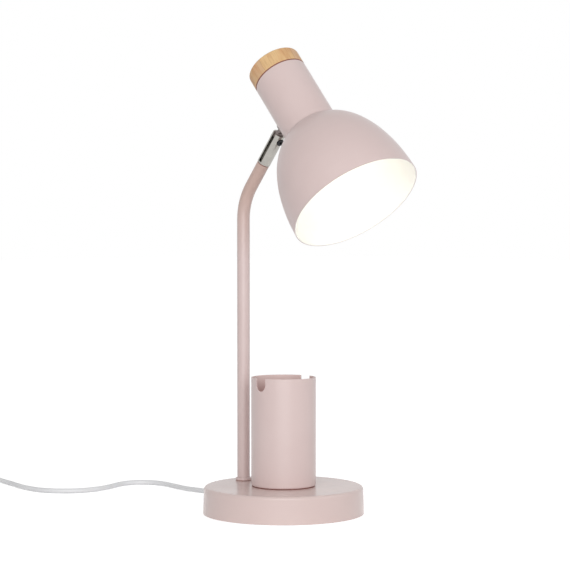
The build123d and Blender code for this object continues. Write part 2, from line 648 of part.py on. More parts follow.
# Head: a spun shade whose straight neck opens into a dome. Each half profile of the dome is a
# superellipse, whose two powers set how full it is towards the mouth and how round at the top.
MOUTH_RADIUS = MOUTH_DIA / 2


def dome_share(neck, mouth):
    """How much of a dome's full rise lies between its mouth and the neck's radius."""
    return (1 - (neck / mouth) ** DOME_FULLNESS) ** (1 / DOME_ROUNDNESS)


DOME_RISE = (HEAD_LENGTH - NECK_LENGTH) / dome_share(NECK_RADIUS, MOUTH_RADIUS)


def dome_at(share, mouth, rise):
    """Point and heading of a dome's half profile, at that share of its rise from the mouth."""
    left = 1 - share**DOME_ROUNDNESS
    turned_in = mouth * DOME_ROUNDNESS / DOME_FULLNESS * share ** (DOME_ROUNDNESS - 1)
    heading = Vector(-turned_in * left ** (1 / DOME_FULLNESS - 1), -rise).normalized()
    return Vector(mouth * left ** (1 / DOME_FULLNESS), HEAD_LENGTH - rise * share), heading


def shade_outline(wall):
    """Half profile of the shade, drawn in by wall, inside a BuildSketch on HEAD_PROFILE."""
    neck, mouth, rise = NECK_RADIUS - wall, MOUTH_RADIUS - wall, DOME_RISE - wall
    top_share = dome_share(neck, mouth)
    stops = [top_share * sin(pi / 2 * i / DOME_SPANS) for i in range(DOME_SPANS + 1)]
    with BuildLine() as outline:
        for here, there in zip(stops, stops[1:]):
            biarc(*dome_at(here, mouth, rise), *dome_at(there, mouth, rise))
        crease, _ = dome_at(top_share, mouth, rise)
        Polyline(crease, (neck, wall), (0, wall), (0, HEAD_LENGTH), (mouth, HEAD_LENGTH))
    make_face(outline.edges())
    fillet(vertices().sort_by_distance(tuple(crease))[0], CREASE_RADIUS + wall)


with BuildPart() as shade:
    with BuildSketch(HEAD_PROFILE):
        shade_outline(0)
        fillet(vertices().sort_by_distance((NECK_RADIUS, 0))[0], NECK_EDGE_RADIUS)
    revolve(axis=HEAD_AXIS)
    with BuildSketch(HEAD_PROFILE):
        shade_outline(SHADE_WALL)
    revolve(axis=HEAD_AXIS, mode=Mode.SUBTRACT)
    with BuildSketch(HEAD_PLANE):
        Circle(NIPPLE_DIA / 2 + NIPPLE_CLEARANCE)
        with GridLocations(0, CAP_SCREW_SPACING, 1, 2):
            Circle(CAP_SCREW_DIA / 2 + SCREW_CLEARANCE)
    extrude(amount=SHADE_WALL, mode=Mode.SUBTRACT)
    with BuildSketch(LUG_PLANE.offset(KNUCKLE_FROM_NECK - SADDLE_THICKNESS)):
        Circle(STUD_DIA / 2 + NIPPLE_CLEARANCE)
    extrude(amount=NECK_RADIUS / 2, mode=Mode.SUBTRACT)
save(shade, "shade")

with BuildPart() as wood_cap:
    with BuildSketch(HEAD_PLANE):
        Circle(NECK_RADIUS)
    extrude(amount=-CAP_HEIGHT)
    fillet(edges().filter_by(GeomType.CIRCLE).sort_by(HEAD_AXIS)[0], CAP_EDGE_RADIUS)
    chamfer(edges().filter_by(GeomType.CIRCLE).sort_by(HEAD_AXIS)[-1], CAP_JOINT_CHAMFER)
    with BuildSketch(HEAD_PLANE):
        Circle(CAP_RECESS_DIA / 2)
    extrude(amount=-CAP_RECESS_DEPTH, mode=Mode.SUBTRACT)
    with BuildSketch(HEAD_PLANE):
        with GridLocations(0, CAP_SCREW_SPACING, 1, 2):
            Circle(CAP_SCREW_DIA / 2 + THREAD_GAP)
    extrude(amount=-CAP_SCREW_GRIP - SCREW_TIP_SPACE, mode=Mode.SUBTRACT)
save(wood_cap, "wood_cap")

with BuildPart() as cap_screws:
    with BuildSketch(HEAD_PLANE.offset(SHADE_WALL)):
        with GridLocations(0, CAP_SCREW_SPACING, 1, 2):
            Circle(CAP_SCREW_DIA)
    extrude(amount=CAP_SCREW_HEAD)
    with BuildSketch(HEAD_PLANE.offset(SHADE_WALL)):
        with GridLocations(0, CAP_SCREW_SPACING, 1, 2):
            Circle(CAP_SCREW_DIA / 2)
    extrude(amount=-SHADE_WALL - CAP_SCREW_GRIP)
save(cap_screws, "cap_screws")

# Lampholder, hung on a nipple through the top of the neck, and its bulb
with BuildPart() as holder_nipple:
    with BuildSketch(HEAD_PLANE.offset(HOLDER_NIPPLE_LENGTH + SHADE_WALL)):
        Circle(NIPPLE_DIA / 2)
        Circle(NIPPLE_BORE / 2, mode=Mode.SUBTRACT)
    extrude(amount=-HOLDER_NIPPLE_LENGTH - SHADE_WALL - NUT_HEIGHT - NIPPLE_SHOW)
save(holder_nipple, "holder_nipple")

with BuildPart() as nipple_nut:
    with BuildSketch(HEAD_PLANE):
        RegularPolygon(NUT_ACROSS / 2, 6, major_radius=False)
        Circle(NIPPLE_DIA / 2 + THREAD_GAP, mode=Mode.SUBTRACT)
    extrude(amount=-NUT_HEIGHT)
save(nipple_nut, "nipple_nut")


def head_ring(inner, outer, start, end):
    """A rectangle between two radii and two distances along the head, for a revolve."""
    with Locations(((inner + outer) / 2, (start + end) / 2)):
        Rectangle(outer - inner, end - start)


HOLDER_END = SHADE_WALL + HOLDER_LENGTH
CONTACT_FLOOR = HOLDER_END - SOCKET_DEPTH
CHAMBER_Z = SHADE_WALL + HOLDER_NIPPLE_LENGTH
with BuildPart() as lampholder_body:
    with BuildSketch(HEAD_PROFILE):
        with BuildLine():
            Polyline(
                (NIPPLE_DIA / 2 + THREAD_GAP, SHADE_WALL),
                (HOLDER_NECK_DIA / 2, SHADE_WALL),
                (HOLDER_NECK_DIA / 2, SHADE_WALL + HOLDER_COLLAR),
                (HOLDER_DIA / 2, SHADE_WALL + HOLDER_COLLAR + HOLDER_CONE),
                (HOLDER_DIA / 2, HOLDER_END),
                (SOCKET_DIA / 2, HOLDER_END),
                (SOCKET_DIA / 2, CONTACT_FLOOR),
                (0, CONTACT_FLOOR),
                (0, CONTACT_FLOOR - HOLDER_WALL),
                (CHAMBER_DIA / 2, CONTACT_FLOOR - HOLDER_WALL),
                (CHAMBER_DIA / 2, CHAMBER_Z),
                (NIPPLE_DIA / 2 + THREAD_GAP, CHAMBER_Z),
                close=True,
            )
        make_face()
    revolve(axis=HEAD_AXIS)
    with BuildSketch(
        Plane(
            origin=HEAD_PLANE.from_local_coords((0, 0, CHAMBER_Z + CABLE_ENTRY)),
            z_dir=BEHIND_HEAD,
        )
    ):
        Circle(INNER_CABLE_DIA / 2 + CABLE_GAP)
    extrude(amount=HOLDER_DIA, mode=Mode.SUBTRACT)
save(lampholder_body, "lampholder_body")

SLEEVE_RADIUS = SOCKET_DIA / 2 - SLEEVE_GAP
with BuildPart() as lampholder_sleeve:
    with BuildSketch(HEAD_PROFILE):
        head_ring(SLEEVE_RADIUS - SLEEVE_WALL, SLEEVE_RADIUS, CONTACT_FLOOR, CONTACT_FLOOR + SLEEVE_LENGTH)
        head_ring(CONTACT_DIA, SLEEVE_RADIUS, CONTACT_FLOOR, CONTACT_FLOOR + SLEEVE_WALL)
    revolve(axis=HEAD_AXIS)
save(lampholder_sleeve, "lampholder_sleeve")

with BuildPart() as centre_contact:
    with BuildSketch(HEAD_PLANE.offset(CONTACT_FLOOR)):
        Circle(CONTACT_DIA / 2)
    extrude(amount=CONTACT_HEIGHT)
    fillet(edges().filter_by(GeomType.CIRCLE).sort_by(HEAD_AXIS)[-1], CONTACT_HEIGHT / 3)
save(centre_contact, "centre_contact")

BULB_TIP = CONTACT_FLOOR + CONTACT_HEIGHT
BULB_CAP_RADIUS = SLEEVE_RADIUS - SLEEVE_WALL - BULB_GAP
GLASS_START = BULB_TIP + BULB_CAP_LENGTH
GLOBE_CENTRE = BULB_TIP + BULB_LENGTH - BULB_DIA / 2
with BuildPart() as bulb_cap:
    with BuildSketch(HEAD_PROFILE):
        with BuildLine():
            Polyline(
                (0, BULB_TIP),
                (CONTACT_DIA / 2, BULB_TIP),
                (BULB_CAP_RADIUS - BULB_CAP_SHOULDER, BULB_TIP + BULB_TIP_CONE),
                (BULB_CAP_RADIUS, BULB_TIP + BULB_TIP_CONE + BULB_CAP_SHOULDER),
                (BULB_CAP_RADIUS, GLASS_START),
                (0, GLASS_START),
                close=True,
            )
        make_face()
    revolve(axis=HEAD_AXIS)
save(bulb_cap, "bulb_cap")


def globe_outline(wall):
    """Half profile of the bulb's glass, drawn in by wall, inside a BuildSketch on HEAD_PROFILE."""
    neck, globe = BULB_NECK_DIA / 2 - wall, BULB_DIA / 2 - wall
    drop = GLOBE_CENTRE - GLASS_START
    joint = atan2(drop, neck) - acos(globe / hypot(neck, drop))
    with BuildLine() as outline:
        shoulder = Line((neck, GLASS_START), (globe * cos(joint), GLOBE_CENTRE - globe * sin(joint)))
        bowl = CenterArc((0, GLOBE_CENTRE), globe, -degrees(joint), 90 + degrees(joint))
        Polyline(bowl @ 1, (0, GLASS_START), shoulder @ 0)
    make_face(outline.edges())


with BuildPart() as bulb_globe:
    with BuildSketch(HEAD_PROFILE):
        globe_outline(0)
    revolve(axis=HEAD_AXIS)
    with BuildSketch(HEAD_PROFILE):
        globe_outline(GLASS_WALL)
    revolve(axis=HEAD_AXIS, mode=Mode.SUBTRACT)
save(bulb_globe, "bulb_globe")

# Inner cable: up the stem and past the clamp screw, then from the knuckle into the holder
GRIP_SEAT_X = -sqrt((BASE_TOP_RADIUS - SHELL_WALL) ** 2 - (GRIP_FLANGE_DIA / 2) ** 2)
GRIP_INNER_X = GRIP_SEAT_X + GRIP_FLANGE
SIDESTEP_Z = CLAMP_SCREW_Z - CABLE_SIDESTEP_DROP
STEM_CABLE_END_Z = BARREL_Z - BARREL_FIT_RADIUS - CABLE_GAP
with BuildPart() as stem_cable:
    with BuildLine() as stem_cable_line:
        FilletPolyline(
            (GRIP_INNER_X, 0, CORD_EXIT_Z),
            (STEM_FOOT_X, 0, CORD_EXIT_Z),
            STEM_CORNER,
            CLAMP_PLANE.from_local_coords((0, 0, SIDESTEP_Z - CABLE_SIDESTEP_RUN)),
            CLAMP_PLANE.from_local_coords((0, CABLE_SIDESTEP, SIDESTEP_Z)),
            CLAMP_PLANE.from_local_coords((0, CABLE_SIDESTEP, STEM_CABLE_END_Z)),
            radius=(CABLE_BASE_BEND, STEM_BEND_RADIUS, CABLE_HINGE_BEND, CABLE_HINGE_BEND),
        )
    with BuildSketch(Plane(origin=(GRIP_INNER_X, 0, CORD_EXIT_Z), z_dir=(1, 0, 0))):
        Circle(INNER_CABLE_DIA / 2)
    sweep(path=stem_cable_line.line)
save(stem_cable, "stem_cable")

CABLE_RUN_X = HOLDER_DIA / 2 + CABLE_GAP + INNER_CABLE_DIA / 2
with BuildPart() as head_cable:
    with BuildLine() as head_cable_line:
        FilletPolyline(
            HEAD_PLANE.from_local_coords((NECK_RADIUS + KNUCKLE_FROM_NECK, 0, KNUCKLE_ALONG_NECK)),
            HEAD_PLANE.from_local_coords((CABLE_RUN_X, 0, KNUCKLE_ALONG_NECK)),
            HEAD_PLANE.from_local_coords((CABLE_RUN_X, 0, CHAMBER_Z + CABLE_ENTRY)),
            HEAD_PLANE.from_local_coords((CABLE_TAIL, 0, CHAMBER_Z + CABLE_ENTRY)),
            radius=CABLE_RUN_BEND,
        )
    with BuildSketch(LUG_PLANE):
        Circle(INNER_CABLE_DIA / 2)
    sweep(path=head_cable_line.line)
save(head_cable, "head_cable")

# Mains cord: moulded grip, free lead, in-line switch, tail, put-away coil with its tie, plug
GRIP_TIP_X = -BASE_RADIUS - GRIP_LENGTH
with BuildPart() as cord_grip:
    with BuildSketch(Plane(origin=(0, 0, CORD_EXIT_Z), x_dir=(-1, 0, 0), z_dir=(0, 1, 0))):
        with BuildLine():
            Polyline(
                (-GRIP_INNER_X, 0),
                (-GRIP_INNER_X, GRIP_FLANGE_DIA / 2),
                (-GRIP_SEAT_X, GRIP_FLANGE_DIA / 2),
                (-GRIP_SEAT_X, GRIP_GROOVE_DIA / 2),
                (BASE_RADIUS + GRIP_CLEARANCE, GRIP_GROOVE_DIA / 2),
                (BASE_RADIUS + GRIP_CLEARANCE, GRIP_ROOT_DIA / 2),
                (-GRIP_TIP_X, GRIP_TIP_DIA / 2),
                (-GRIP_TIP_X, 0),
                close=True,
            )
        make_face()
        with Locations((BASE_RADIUS + GRIP_RIB_MIDDLE, GRIP_ROOT_DIA / 2)):
            with GridLocations(GRIP_RIB_PITCH, 0, GRIP_RIB_COUNT, 1):
                Rectangle(GRIP_RIB_PITCH / 2, 2 * GRIP_RIB_DEPTH, mode=Mode.SUBTRACT)
    revolve(axis=Axis((0, 0, CORD_EXIT_Z), (1, 0, 0)))
save(cord_grip, "cord_grip")


def tube_report(tube, length):
    """A cord's length, and its volume over that of its section swept for that length."""
    share = tube.part.volume / (pi * CORD_DIA**2 / 4 * length)
    return f"length {length:.1f} volume ratio {share:.5f}"


def cord_tube(points):
    """The solid of a free stretch of cord, and its printed bend radii, length and volume."""
    radii = corner_radii(points)
    with BuildPart() as tube:
        with BuildLine() as route:
            FilletPolyline(*points, radius=radii)
        with BuildSketch(plane_along(points[0], points[1])):
            Circle(CORD_DIA / 2)
        sweep(path=route.line)
    print("cord radii", [round(r, 1) for r in radii], tube_report(tube, route.wires()[0].length))
    return tube


FLOOR_Z = CORD_DIA / 2 + CORD_LIFT
LEAD_POINTS = (
    (GRIP_TIP_X, 0, CORD_EXIT_Z),
    (-124, 0, CORD_EXIT_Z),
    (-157, 20, 5.0),
    (-190, 38, FLOOR_Z),
    (-224, 49, FLOOR_Z),
    (-250, 35, FLOOR_Z),
    (-254, 3, FLOOR_Z),
    (-238, -28, FLOOR_Z),
    (-234, -58, FLOOR_Z),
    (-256, -78, FLOOR_Z),
    (-292, -80, FLOOR_Z),
    (-328, -70, FLOOR_Z),
    (-352, -67, 3.2),
    (-374, SWITCH_Y, SWITCH_SPLIT_Z),
    (SWITCH_INLET_X, SWITCH_Y, SWITCH_SPLIT_Z),
)
cord_lead = cord_tube(LEAD_POINTS)
save(cord_lead, "cord_lead")

SWITCH_X = SWITCH_INLET_X - SWITCH_LENGTH / 2
SWITCH_SCREW_SPOTS = ((SWITCH_SCREW_X, SWITCH_SCREW_Y), (-SWITCH_SCREW_X, -SWITCH_SCREW_Y))


def switch_outline(inset):
    """Plan of the switch's housing, drawn in by inset, inside a BuildSketch."""
    half, width = SWITCH_LENGTH / 2 - inset, SWITCH_WIDTH / 2 - inset
    nose = SWITCH_NOSE_WIDTH / 2 - inset
    flank = SWITCH_FLANK / 2
    with Locations((SWITCH_X, SWITCH_Y)):
        Polygon(
            (half, nose), (flank, width), (-flank, width), (-half, nose),
            (-half, -nose), (-flank, -width), (flank, -width), (half, -nose),
            align=None,
        )
    columns = vertices().group_by(Axis.X)
    fillet(columns[1] + columns[2], SWITCH_FLANK_RADIUS)


COVER_TOP_Z = SWITCH_HEIGHT
PIVOT_Z = COVER_TOP_Z - ROCKER_PIVOT_DROP
WINDOW_LENGTH = ROCKER_LENGTH + 2 * ROCKER_GAP
WINDOW_WIDTH = ROCKER_WIDTH + 2 * ROCKER_GAP
with BuildPart() as switch_base:
    with BuildSketch(Plane.XY.offset(SWITCH_FOOT)):
        switch_outline(0)
    extrude(amount=SWITCH_SPLIT_Z - SWITCH_FOOT)
    fillet(edges().group_by(Axis.Z)[0], SWITCH_BASE_RADIUS)
    with BuildSketch(Plane.XY.offset(SWITCH_FOOT + SWITCH_WALL)):
        switch_outline(SWITCH_WALL)
    extrude(amount=SWITCH_HEIGHT, mode=Mode.SUBTRACT)
    with BuildSketch(Plane.XY.offset(SWITCH_FOOT)):
        with Locations((SWITCH_X, SWITCH_Y)):
            with Locations(*SWITCH_SCREW_SPOTS):
                Circle(SWITCH_BOSS_DIA / 2)
    extrude(amount=SWITCH_SPLIT_Z - SWITCH_FOOT)
    with BuildSketch(Plane.XY.offset(SWITCH_FOOT)):
        with Locations((SWITCH_X, SWITCH_Y)):
            with Locations(*SWITCH_SCREW_SPOTS):
                Circle(SWITCH_SCREW_DIA / 2 + SCREW_CLEARANCE)
    extrude(amount=SWITCH_SPLIT_Z, mode=Mode.SUBTRACT)
    with BuildSketch(Plane.XY.offset(SWITCH_FOOT)):
        with Locations((SWITCH_X, SWITCH_Y)):
            with Locations(*SWITCH_SCREW_SPOTS):
                Circle(SWITCH_SCREW_DIA + SCREW_CLEARANCE)
    extrude(amount=SWITCH_SCREW_HEAD + SCREW_CLEARANCE, mode=Mode.SUBTRACT)
save(switch_base, "switch_base")

with BuildPart() as switch_cover:
    with BuildSketch(Plane.XY.offset(SWITCH_SPLIT_Z)):
        switch_outline(0)
    extrude(amount=COVER_TOP_Z - SWITCH_SPLIT_Z)
    fillet(edges().group_by(Axis.Z)[-1], SWITCH_COVER_RADIUS)
    with BuildSketch(Plane.XY.offset(SWITCH_SPLIT_Z)):
        switch_outline(SWITCH_WALL)
    extrude(amount=COVER_TOP_Z - SWITCH_WALL - SWITCH_SPLIT_Z, mode=Mode.SUBTRACT)
    with BuildSketch(Plane.XY.offset(PIVOT_Z - PIVOT_EAR)):
        with Locations((SWITCH_X, SWITCH_Y)):
            Rectangle(2 * PIVOT_EAR, WINDOW_WIDTH + 2 * EAR_THICKNESS)
    extrude(amount=COVER_TOP_Z - PIVOT_Z + PIVOT_EAR - SWITCH_WALL)
    with BuildSketch(Plane.XY.offset(SWITCH_SPLIT_Z)):
        with Locations((SWITCH_X, SWITCH_Y)):
            Rectangle(WINDOW_LENGTH, WINDOW_WIDTH)
    extrude(amount=SWITCH_HEIGHT, mode=Mode.SUBTRACT)
    with BuildSketch(Plane(origin=(SWITCH_X, SWITCH_Y, PIVOT_Z), x_dir=(1, 0, 0), z_dir=(0, -1, 0))):
        Circle(PIVOT_DIA / 2 + PIVOT_GAP)
    extrude(amount=WINDOW_WIDTH / 2 + EAR_THICKNESS, both=True, mode=Mode.SUBTRACT)
    with BuildSketch(Plane.XY.offset(SWITCH_SPLIT_Z)):
        with Locations((SWITCH_X, SWITCH_Y)):
            with Locations(*SWITCH_SCREW_SPOTS):
                Circle(SWITCH_BOSS_DIA / 2)
                Circle(SWITCH_SCREW_DIA / 2 + THREAD_GAP, mode=Mode.SUBTRACT)
    extrude(amount=COVER_TOP_Z - SWITCH_WALL - SWITCH_SPLIT_Z)
save(switch_cover, "switch_cover")

with BuildPart() as switch_screws:
    with BuildSketch(Plane.XY.offset(SWITCH_FOOT + SCREW_CLEARANCE)):
        with Locations((SWITCH_X, SWITCH_Y)):
            with Locations(*SWITCH_SCREW_SPOTS):
                Circle(SWITCH_SCREW_DIA)
    extrude(amount=SWITCH_SCREW_HEAD)
    with BuildSketch(Plane.XY.offset(SWITCH_FOOT + SCREW_CLEARANCE)):
        with Locations((SWITCH_X, SWITCH_Y)):
            with Locations(*SWITCH_SCREW_SPOTS):
                Circle(SWITCH_SCREW_DIA / 2)
    extrude(amount=SWITCH_SCREW_LENGTH)
save(switch_screws, "switch_screws")

# The rocker's end faces are arcs about its pivot, so that it clears its window as it tips
ROCKER_PLANE = Plane(
    origin=(SWITCH_X, SWITCH_Y, PIVOT_Z),
    x_dir=(cos(radians(ROCKER_TIP)), 0, sin(radians(ROCKER_TIP))),
    z_dir=(0, -1, 0),
)
VALLEY = ROCKER_PIVOT_DROP + ROCKER_PROUD
RIDGE = VALLEY + ROCKER_LENGTH / 2 * tan(radians(ROCKER_TIP))
with BuildPart() as switch_rocker:
    with BuildSketch(ROCKER_PLANE):
        Circle(ROCKER_LENGTH / 2)
        Polygon(
            (0, VALLEY), (ROCKER_LENGTH / 2, RIDGE), (ROCKER_LENGTH / 2, -ROCKER_BELOW),
            (-ROCKER_LENGTH / 2, -ROCKER_BELOW), (-ROCKER_LENGTH / 2, RIDGE),
            align=None, mode=Mode.INTERSECT,
        )
    extrude(amount=ROCKER_WIDTH / 2, both=True)
    with BuildSketch(ROCKER_PLANE):
        Circle(PIVOT_DIA / 2)
    extrude(amount=ROCKER_WIDTH / 2 + ROCKER_GAP + EAR_THICKNESS - PIVOT_GAP, both=True)
save(switch_rocker, "switch_rocker")

# The coil spirals in on the table and out again on top, and climbs where it turns back
SWITCH_OUTLET_X = SWITCH_INLET_X - SWITCH_LENGTH
COIL_START_X = SWITCH_OUTLET_X - TAIL_LENGTH
COIL_Z = CORD_DIA / 2 + TIE_THICKNESS + TIE_GAP
COIL_END_Z = COIL_Z + COIL_PITCH
COIL_CENTRE = Vector(COIL_START_X - CORD_DIA, SWITCH_Y - COIL_SIDESTEP - COIL_OUTER_RADIUS, 0)
TAIL_Y = COIL_CENTRE.Y + COIL_OUTER_RADIUS
TAIL_POINTS = (
    (SWITCH_OUTLET_X, SWITCH_Y, SWITCH_SPLIT_Z),
    (SWITCH_OUTLET_X - TAIL_RUN_OUT, SWITCH_Y, SWITCH_SPLIT_Z),
    (COIL_START_X + TAIL_RUN_IN, TAIL_Y, COIL_Z),
    (COIL_START_X, TAIL_Y, COIL_Z),
)
cord_tail = cord_tube(TAIL_POINTS)
save(cord_tail, "cord_tail")


def coil_point(turn):
    """Centre of the coiled cord after that many turns, counted from where it starts."""
    turn_back = (COIL_TURNS - TURN_BACK_SPAN) / 2
    step = min(max((turn - turn_back) / TURN_BACK_SPAN, 0), 1)
    wound_in = min(turn, turn_back) + TURN_BACK_SPAN * (step - step**2)
    wound_in -= max(turn - turn_back - TURN_BACK_SPAN, 0)
    radius = COIL_OUTER_RADIUS - COIL_PITCH * wound_in
    angle = pi / 2 + 2 * pi * turn
    height = COIL_Z + COIL_PITCH * (3 * step**2 - 2 * step**3)
    return COIL_CENTRE + Vector(radius * cos(angle), radius * sin(angle), height)


def coil_heading(turn):
    """Unit direction of the coiled cord there, square to its two straight ends."""
    if turn == 0:
        return Vector(-1, 0, 0)
    if turn == COIL_TURNS:
        return Vector(1, 0, 0)
    span = 1e-4
    return (coil_point(turn + span) - coil_point(turn - span)).normalized()


COIL_STEPS = round(COIL_TURNS * 4)
COIL_STOPS = [COIL_TURNS * step / COIL_STEPS for step in range(COIL_STEPS + 1)]
COIL_FIRST = coil_point(0) + Vector(CORD_DIA, 0, 0)
COIL_LAST = coil_point(COIL_TURNS) + Vector(CORD_DIA, 0, 0)
with BuildPart() as cord_coil:
    with BuildLine() as coil_line:
        Line(COIL_FIRST, coil_point(0))
        for here, there in zip(COIL_STOPS, COIL_STOPS[1:]):
            biarc(coil_point(here), coil_heading(here), coil_point(there), coil_heading(there))
        Line(coil_point(COIL_TURNS), COIL_LAST)
    with BuildSketch(Plane(origin=COIL_FIRST, z_dir=(-1, 0, 0))):
        Circle(CORD_DIA / 2)
    sweep(path=coil_line.line)
save(cord_coil, "cord_coil")

INNER_PASS = COIL_OUTER_RADIUS - COIL_PITCH * ((COIL_TURNS - TURN_BACK_SPAN) / 2 - 0.25)
OUTER_PASS = COIL_OUTER_RADIUS - COIL_PITCH * 0.75
TIE_NEAR = sqrt((INNER_PASS - CORD_DIA / 2) ** 2 - (TIE_WIDTH / 2) ** 2) - TIE_SLACK
TIE_FAR = OUTER_PASS + CORD_DIA / 2 + TIE_SLACK
TIE_INSIDE_X = TIE_FAR - TIE_NEAR
TIE_INSIDE_Z = COIL_PITCH + CORD_DIA + 2 * TIE_GAP
TIE_CENTRE = COIL_CENTRE + Vector((TIE_NEAR + TIE_FAR) / 2, 0, COIL_Z + COIL_PITCH / 2)
with BuildPart() as cord_tie:
    with BuildSketch(Plane(origin=TIE_CENTRE, x_dir=(1, 0, 0), z_dir=(0, -1, 0))):
        RectangleRounded(
            TIE_INSIDE_X + 2 * TIE_THICKNESS, TIE_INSIDE_Z + 2 * TIE_THICKNESS,
            CORD_DIA / 2 + TIE_THICKNESS,
        )
        with Locations((0, TIE_INSIDE_Z / 2 + TIE_THICKNESS)):
            Rectangle(TIE_FLAP, TIE_THICKNESS, align=(Align.CENTER, Align.MIN))
        RectangleRounded(TIE_INSIDE_X, TIE_INSIDE_Z, CORD_DIA / 2, mode=Mode.SUBTRACT)
    extrude(amount=TIE_WIDTH / 2, both=True)
save(cord_tie, "cord_tie")

PLUG_START_X = COIL_START_X + PLUG_REACH
PLUG_Y = COIL_LAST.Y + PLUG_SIDESTEP
PLUG_Z = PLUG_LIFT + PLUG_HEIGHT / 2
PLUG_POINTS = (
    tuple(COIL_LAST),
    (COIL_START_X + PLUG_RUN_OUT, COIL_LAST.Y, COIL_END_Z),
    (PLUG_START_X - PLUG_RUN_IN, PLUG_Y, PLUG_Z),
    (PLUG_START_X, PLUG_Y, PLUG_Z),
)
plug_lead = cord_tube(PLUG_POINTS)
save(plug_lead, "plug_lead")

PLUG_BODY_X = PLUG_START_X + PLUG_GUARD
with BuildPart() as plug_body:
    with BuildSketch(Plane.XY.offset(PLUG_LIFT)):
        with Locations((PLUG_BODY_X, PLUG_Y)):
            Polygon(
                (0, PLUG_NECK_WIDTH / 2), (PLUG_FLARE_LENGTH, PLUG_WIDTH / 2),
                (PLUG_LENGTH, PLUG_WIDTH / 2), (PLUG_LENGTH, -PLUG_WIDTH / 2),
                (PLUG_FLARE_LENGTH, -PLUG_WIDTH / 2), (0, -PLUG_NECK_WIDTH / 2),
                align=None,
            )
    extrude(amount=PLUG_HEIGHT)
    fillet(
        edges().filter_by(Axis.Z).group_by(Axis.X)[1]
        + edges().filter_by(Axis.Z).group_by(Axis.X)[0], PLUG_CORNER_RADIUS
    )
    fillet(faces().filter_by(Axis.Z).edges(), PLUG_EDGE_RADIUS)
    with BuildSketch(Plane(origin=(PLUG_START_X, PLUG_Y, PLUG_Z), z_dir=(1, 0, 0))):
        Circle(GRIP_TIP_DIA / 2)
    with BuildSketch(Plane(origin=(PLUG_BODY_X + PLUG_GUARD_ROOT, PLUG_Y, PLUG_Z), z_dir=(1, 0, 0))):
        Circle(PLUG_GUARD_DIA / 2)
    loft()
save(plug_body, "plug_body")

with BuildPart() as plug_pins:
    with BuildSketch(
        Plane(
            origin=(PLUG_BODY_X + PLUG_LENGTH, PLUG_Y, PLUG_Z), x_dir=(0, 1, 0), z_dir=(1, 0, 0)
        )
    ):
        with GridLocations(PIN_SPACING, 0, 2, 1):
            Circle(PIN_DIA / 2)
    extrude(amount=PIN_LENGTH)
    fillet(edges().group_by(Axis.X)[-1], PIN_DIA / 4)
save(plug_pins, "plug_pins")


def least_self_gap(wire, samples):
    """The least gap between stretches of one tube that lie over three diameters apart along it."""
    points = [wire @ (i / samples) for i in range(samples + 1)]
    skip = round(3 * CORD_DIA / (wire.length / samples))
    return min(
        (points[i] - points[j]).length - CORD_DIA
        for i in range(len(points))
        for j in range(i + skip, len(points))
    )


coil_wire = coil_line.wires()[0]
print("coil self-gap", round(least_self_gap(coil_wire, 600), 2), tube_report(cord_coil, coil_wire.length))
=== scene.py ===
import bmesh
import bpy
from math import cos, pi, radians, sin
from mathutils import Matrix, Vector


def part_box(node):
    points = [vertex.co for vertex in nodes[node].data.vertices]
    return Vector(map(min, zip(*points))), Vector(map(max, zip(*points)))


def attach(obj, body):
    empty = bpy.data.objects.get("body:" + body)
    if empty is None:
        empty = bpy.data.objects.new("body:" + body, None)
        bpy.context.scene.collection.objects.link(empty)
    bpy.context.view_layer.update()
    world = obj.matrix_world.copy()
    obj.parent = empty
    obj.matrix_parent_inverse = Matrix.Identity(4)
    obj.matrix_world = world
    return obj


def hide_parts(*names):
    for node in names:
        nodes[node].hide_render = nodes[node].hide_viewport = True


# The looks of a desk lamp with a pen holder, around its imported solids. Metres, +Z up; the
# lamp leans and shines towards +X, and its cord leaves the base towards -X.

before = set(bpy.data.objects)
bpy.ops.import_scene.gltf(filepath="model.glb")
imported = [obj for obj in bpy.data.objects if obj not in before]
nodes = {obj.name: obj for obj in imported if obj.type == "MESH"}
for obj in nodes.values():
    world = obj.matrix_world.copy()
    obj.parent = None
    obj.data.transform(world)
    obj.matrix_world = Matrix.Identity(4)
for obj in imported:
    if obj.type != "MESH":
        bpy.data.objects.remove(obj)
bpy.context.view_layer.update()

# Camera: the photograph's viewpoint, low and 45 degrees round from the front
CAMERA_PLACE = Vector((1.2131, -1.2070, 0.2634))
CAMERA_AZIMUTH = radians(45.1)
CAMERA_DIP = radians(1.70)
CAMERA_LENS = 116.4
SENSOR_WIDTH = 36.0
NEAR_CLIP, FAR_CLIP = 0.05, 60.0

# Hinge and head, as the CAD source has them
HEAD_ORIGIN = (-0.003494, 0.0, 0.404559)
HEAD_TURN = radians(140.8)
NECK_BORE = 0.02495
NECK_TOP_WALL = 0.0005
DOME_RADIUS = 0.0609
DOME_RISE = 0.09165
DOME_MOUTH = 0.1507
DOME_FULLNESS = 2.5
DOME_ROUNDNESS = 2.0
CLAMP_ORIGIN = (-0.026418, 0.0, 0.326302)
CLAMP_LEAN = radians(38.0)

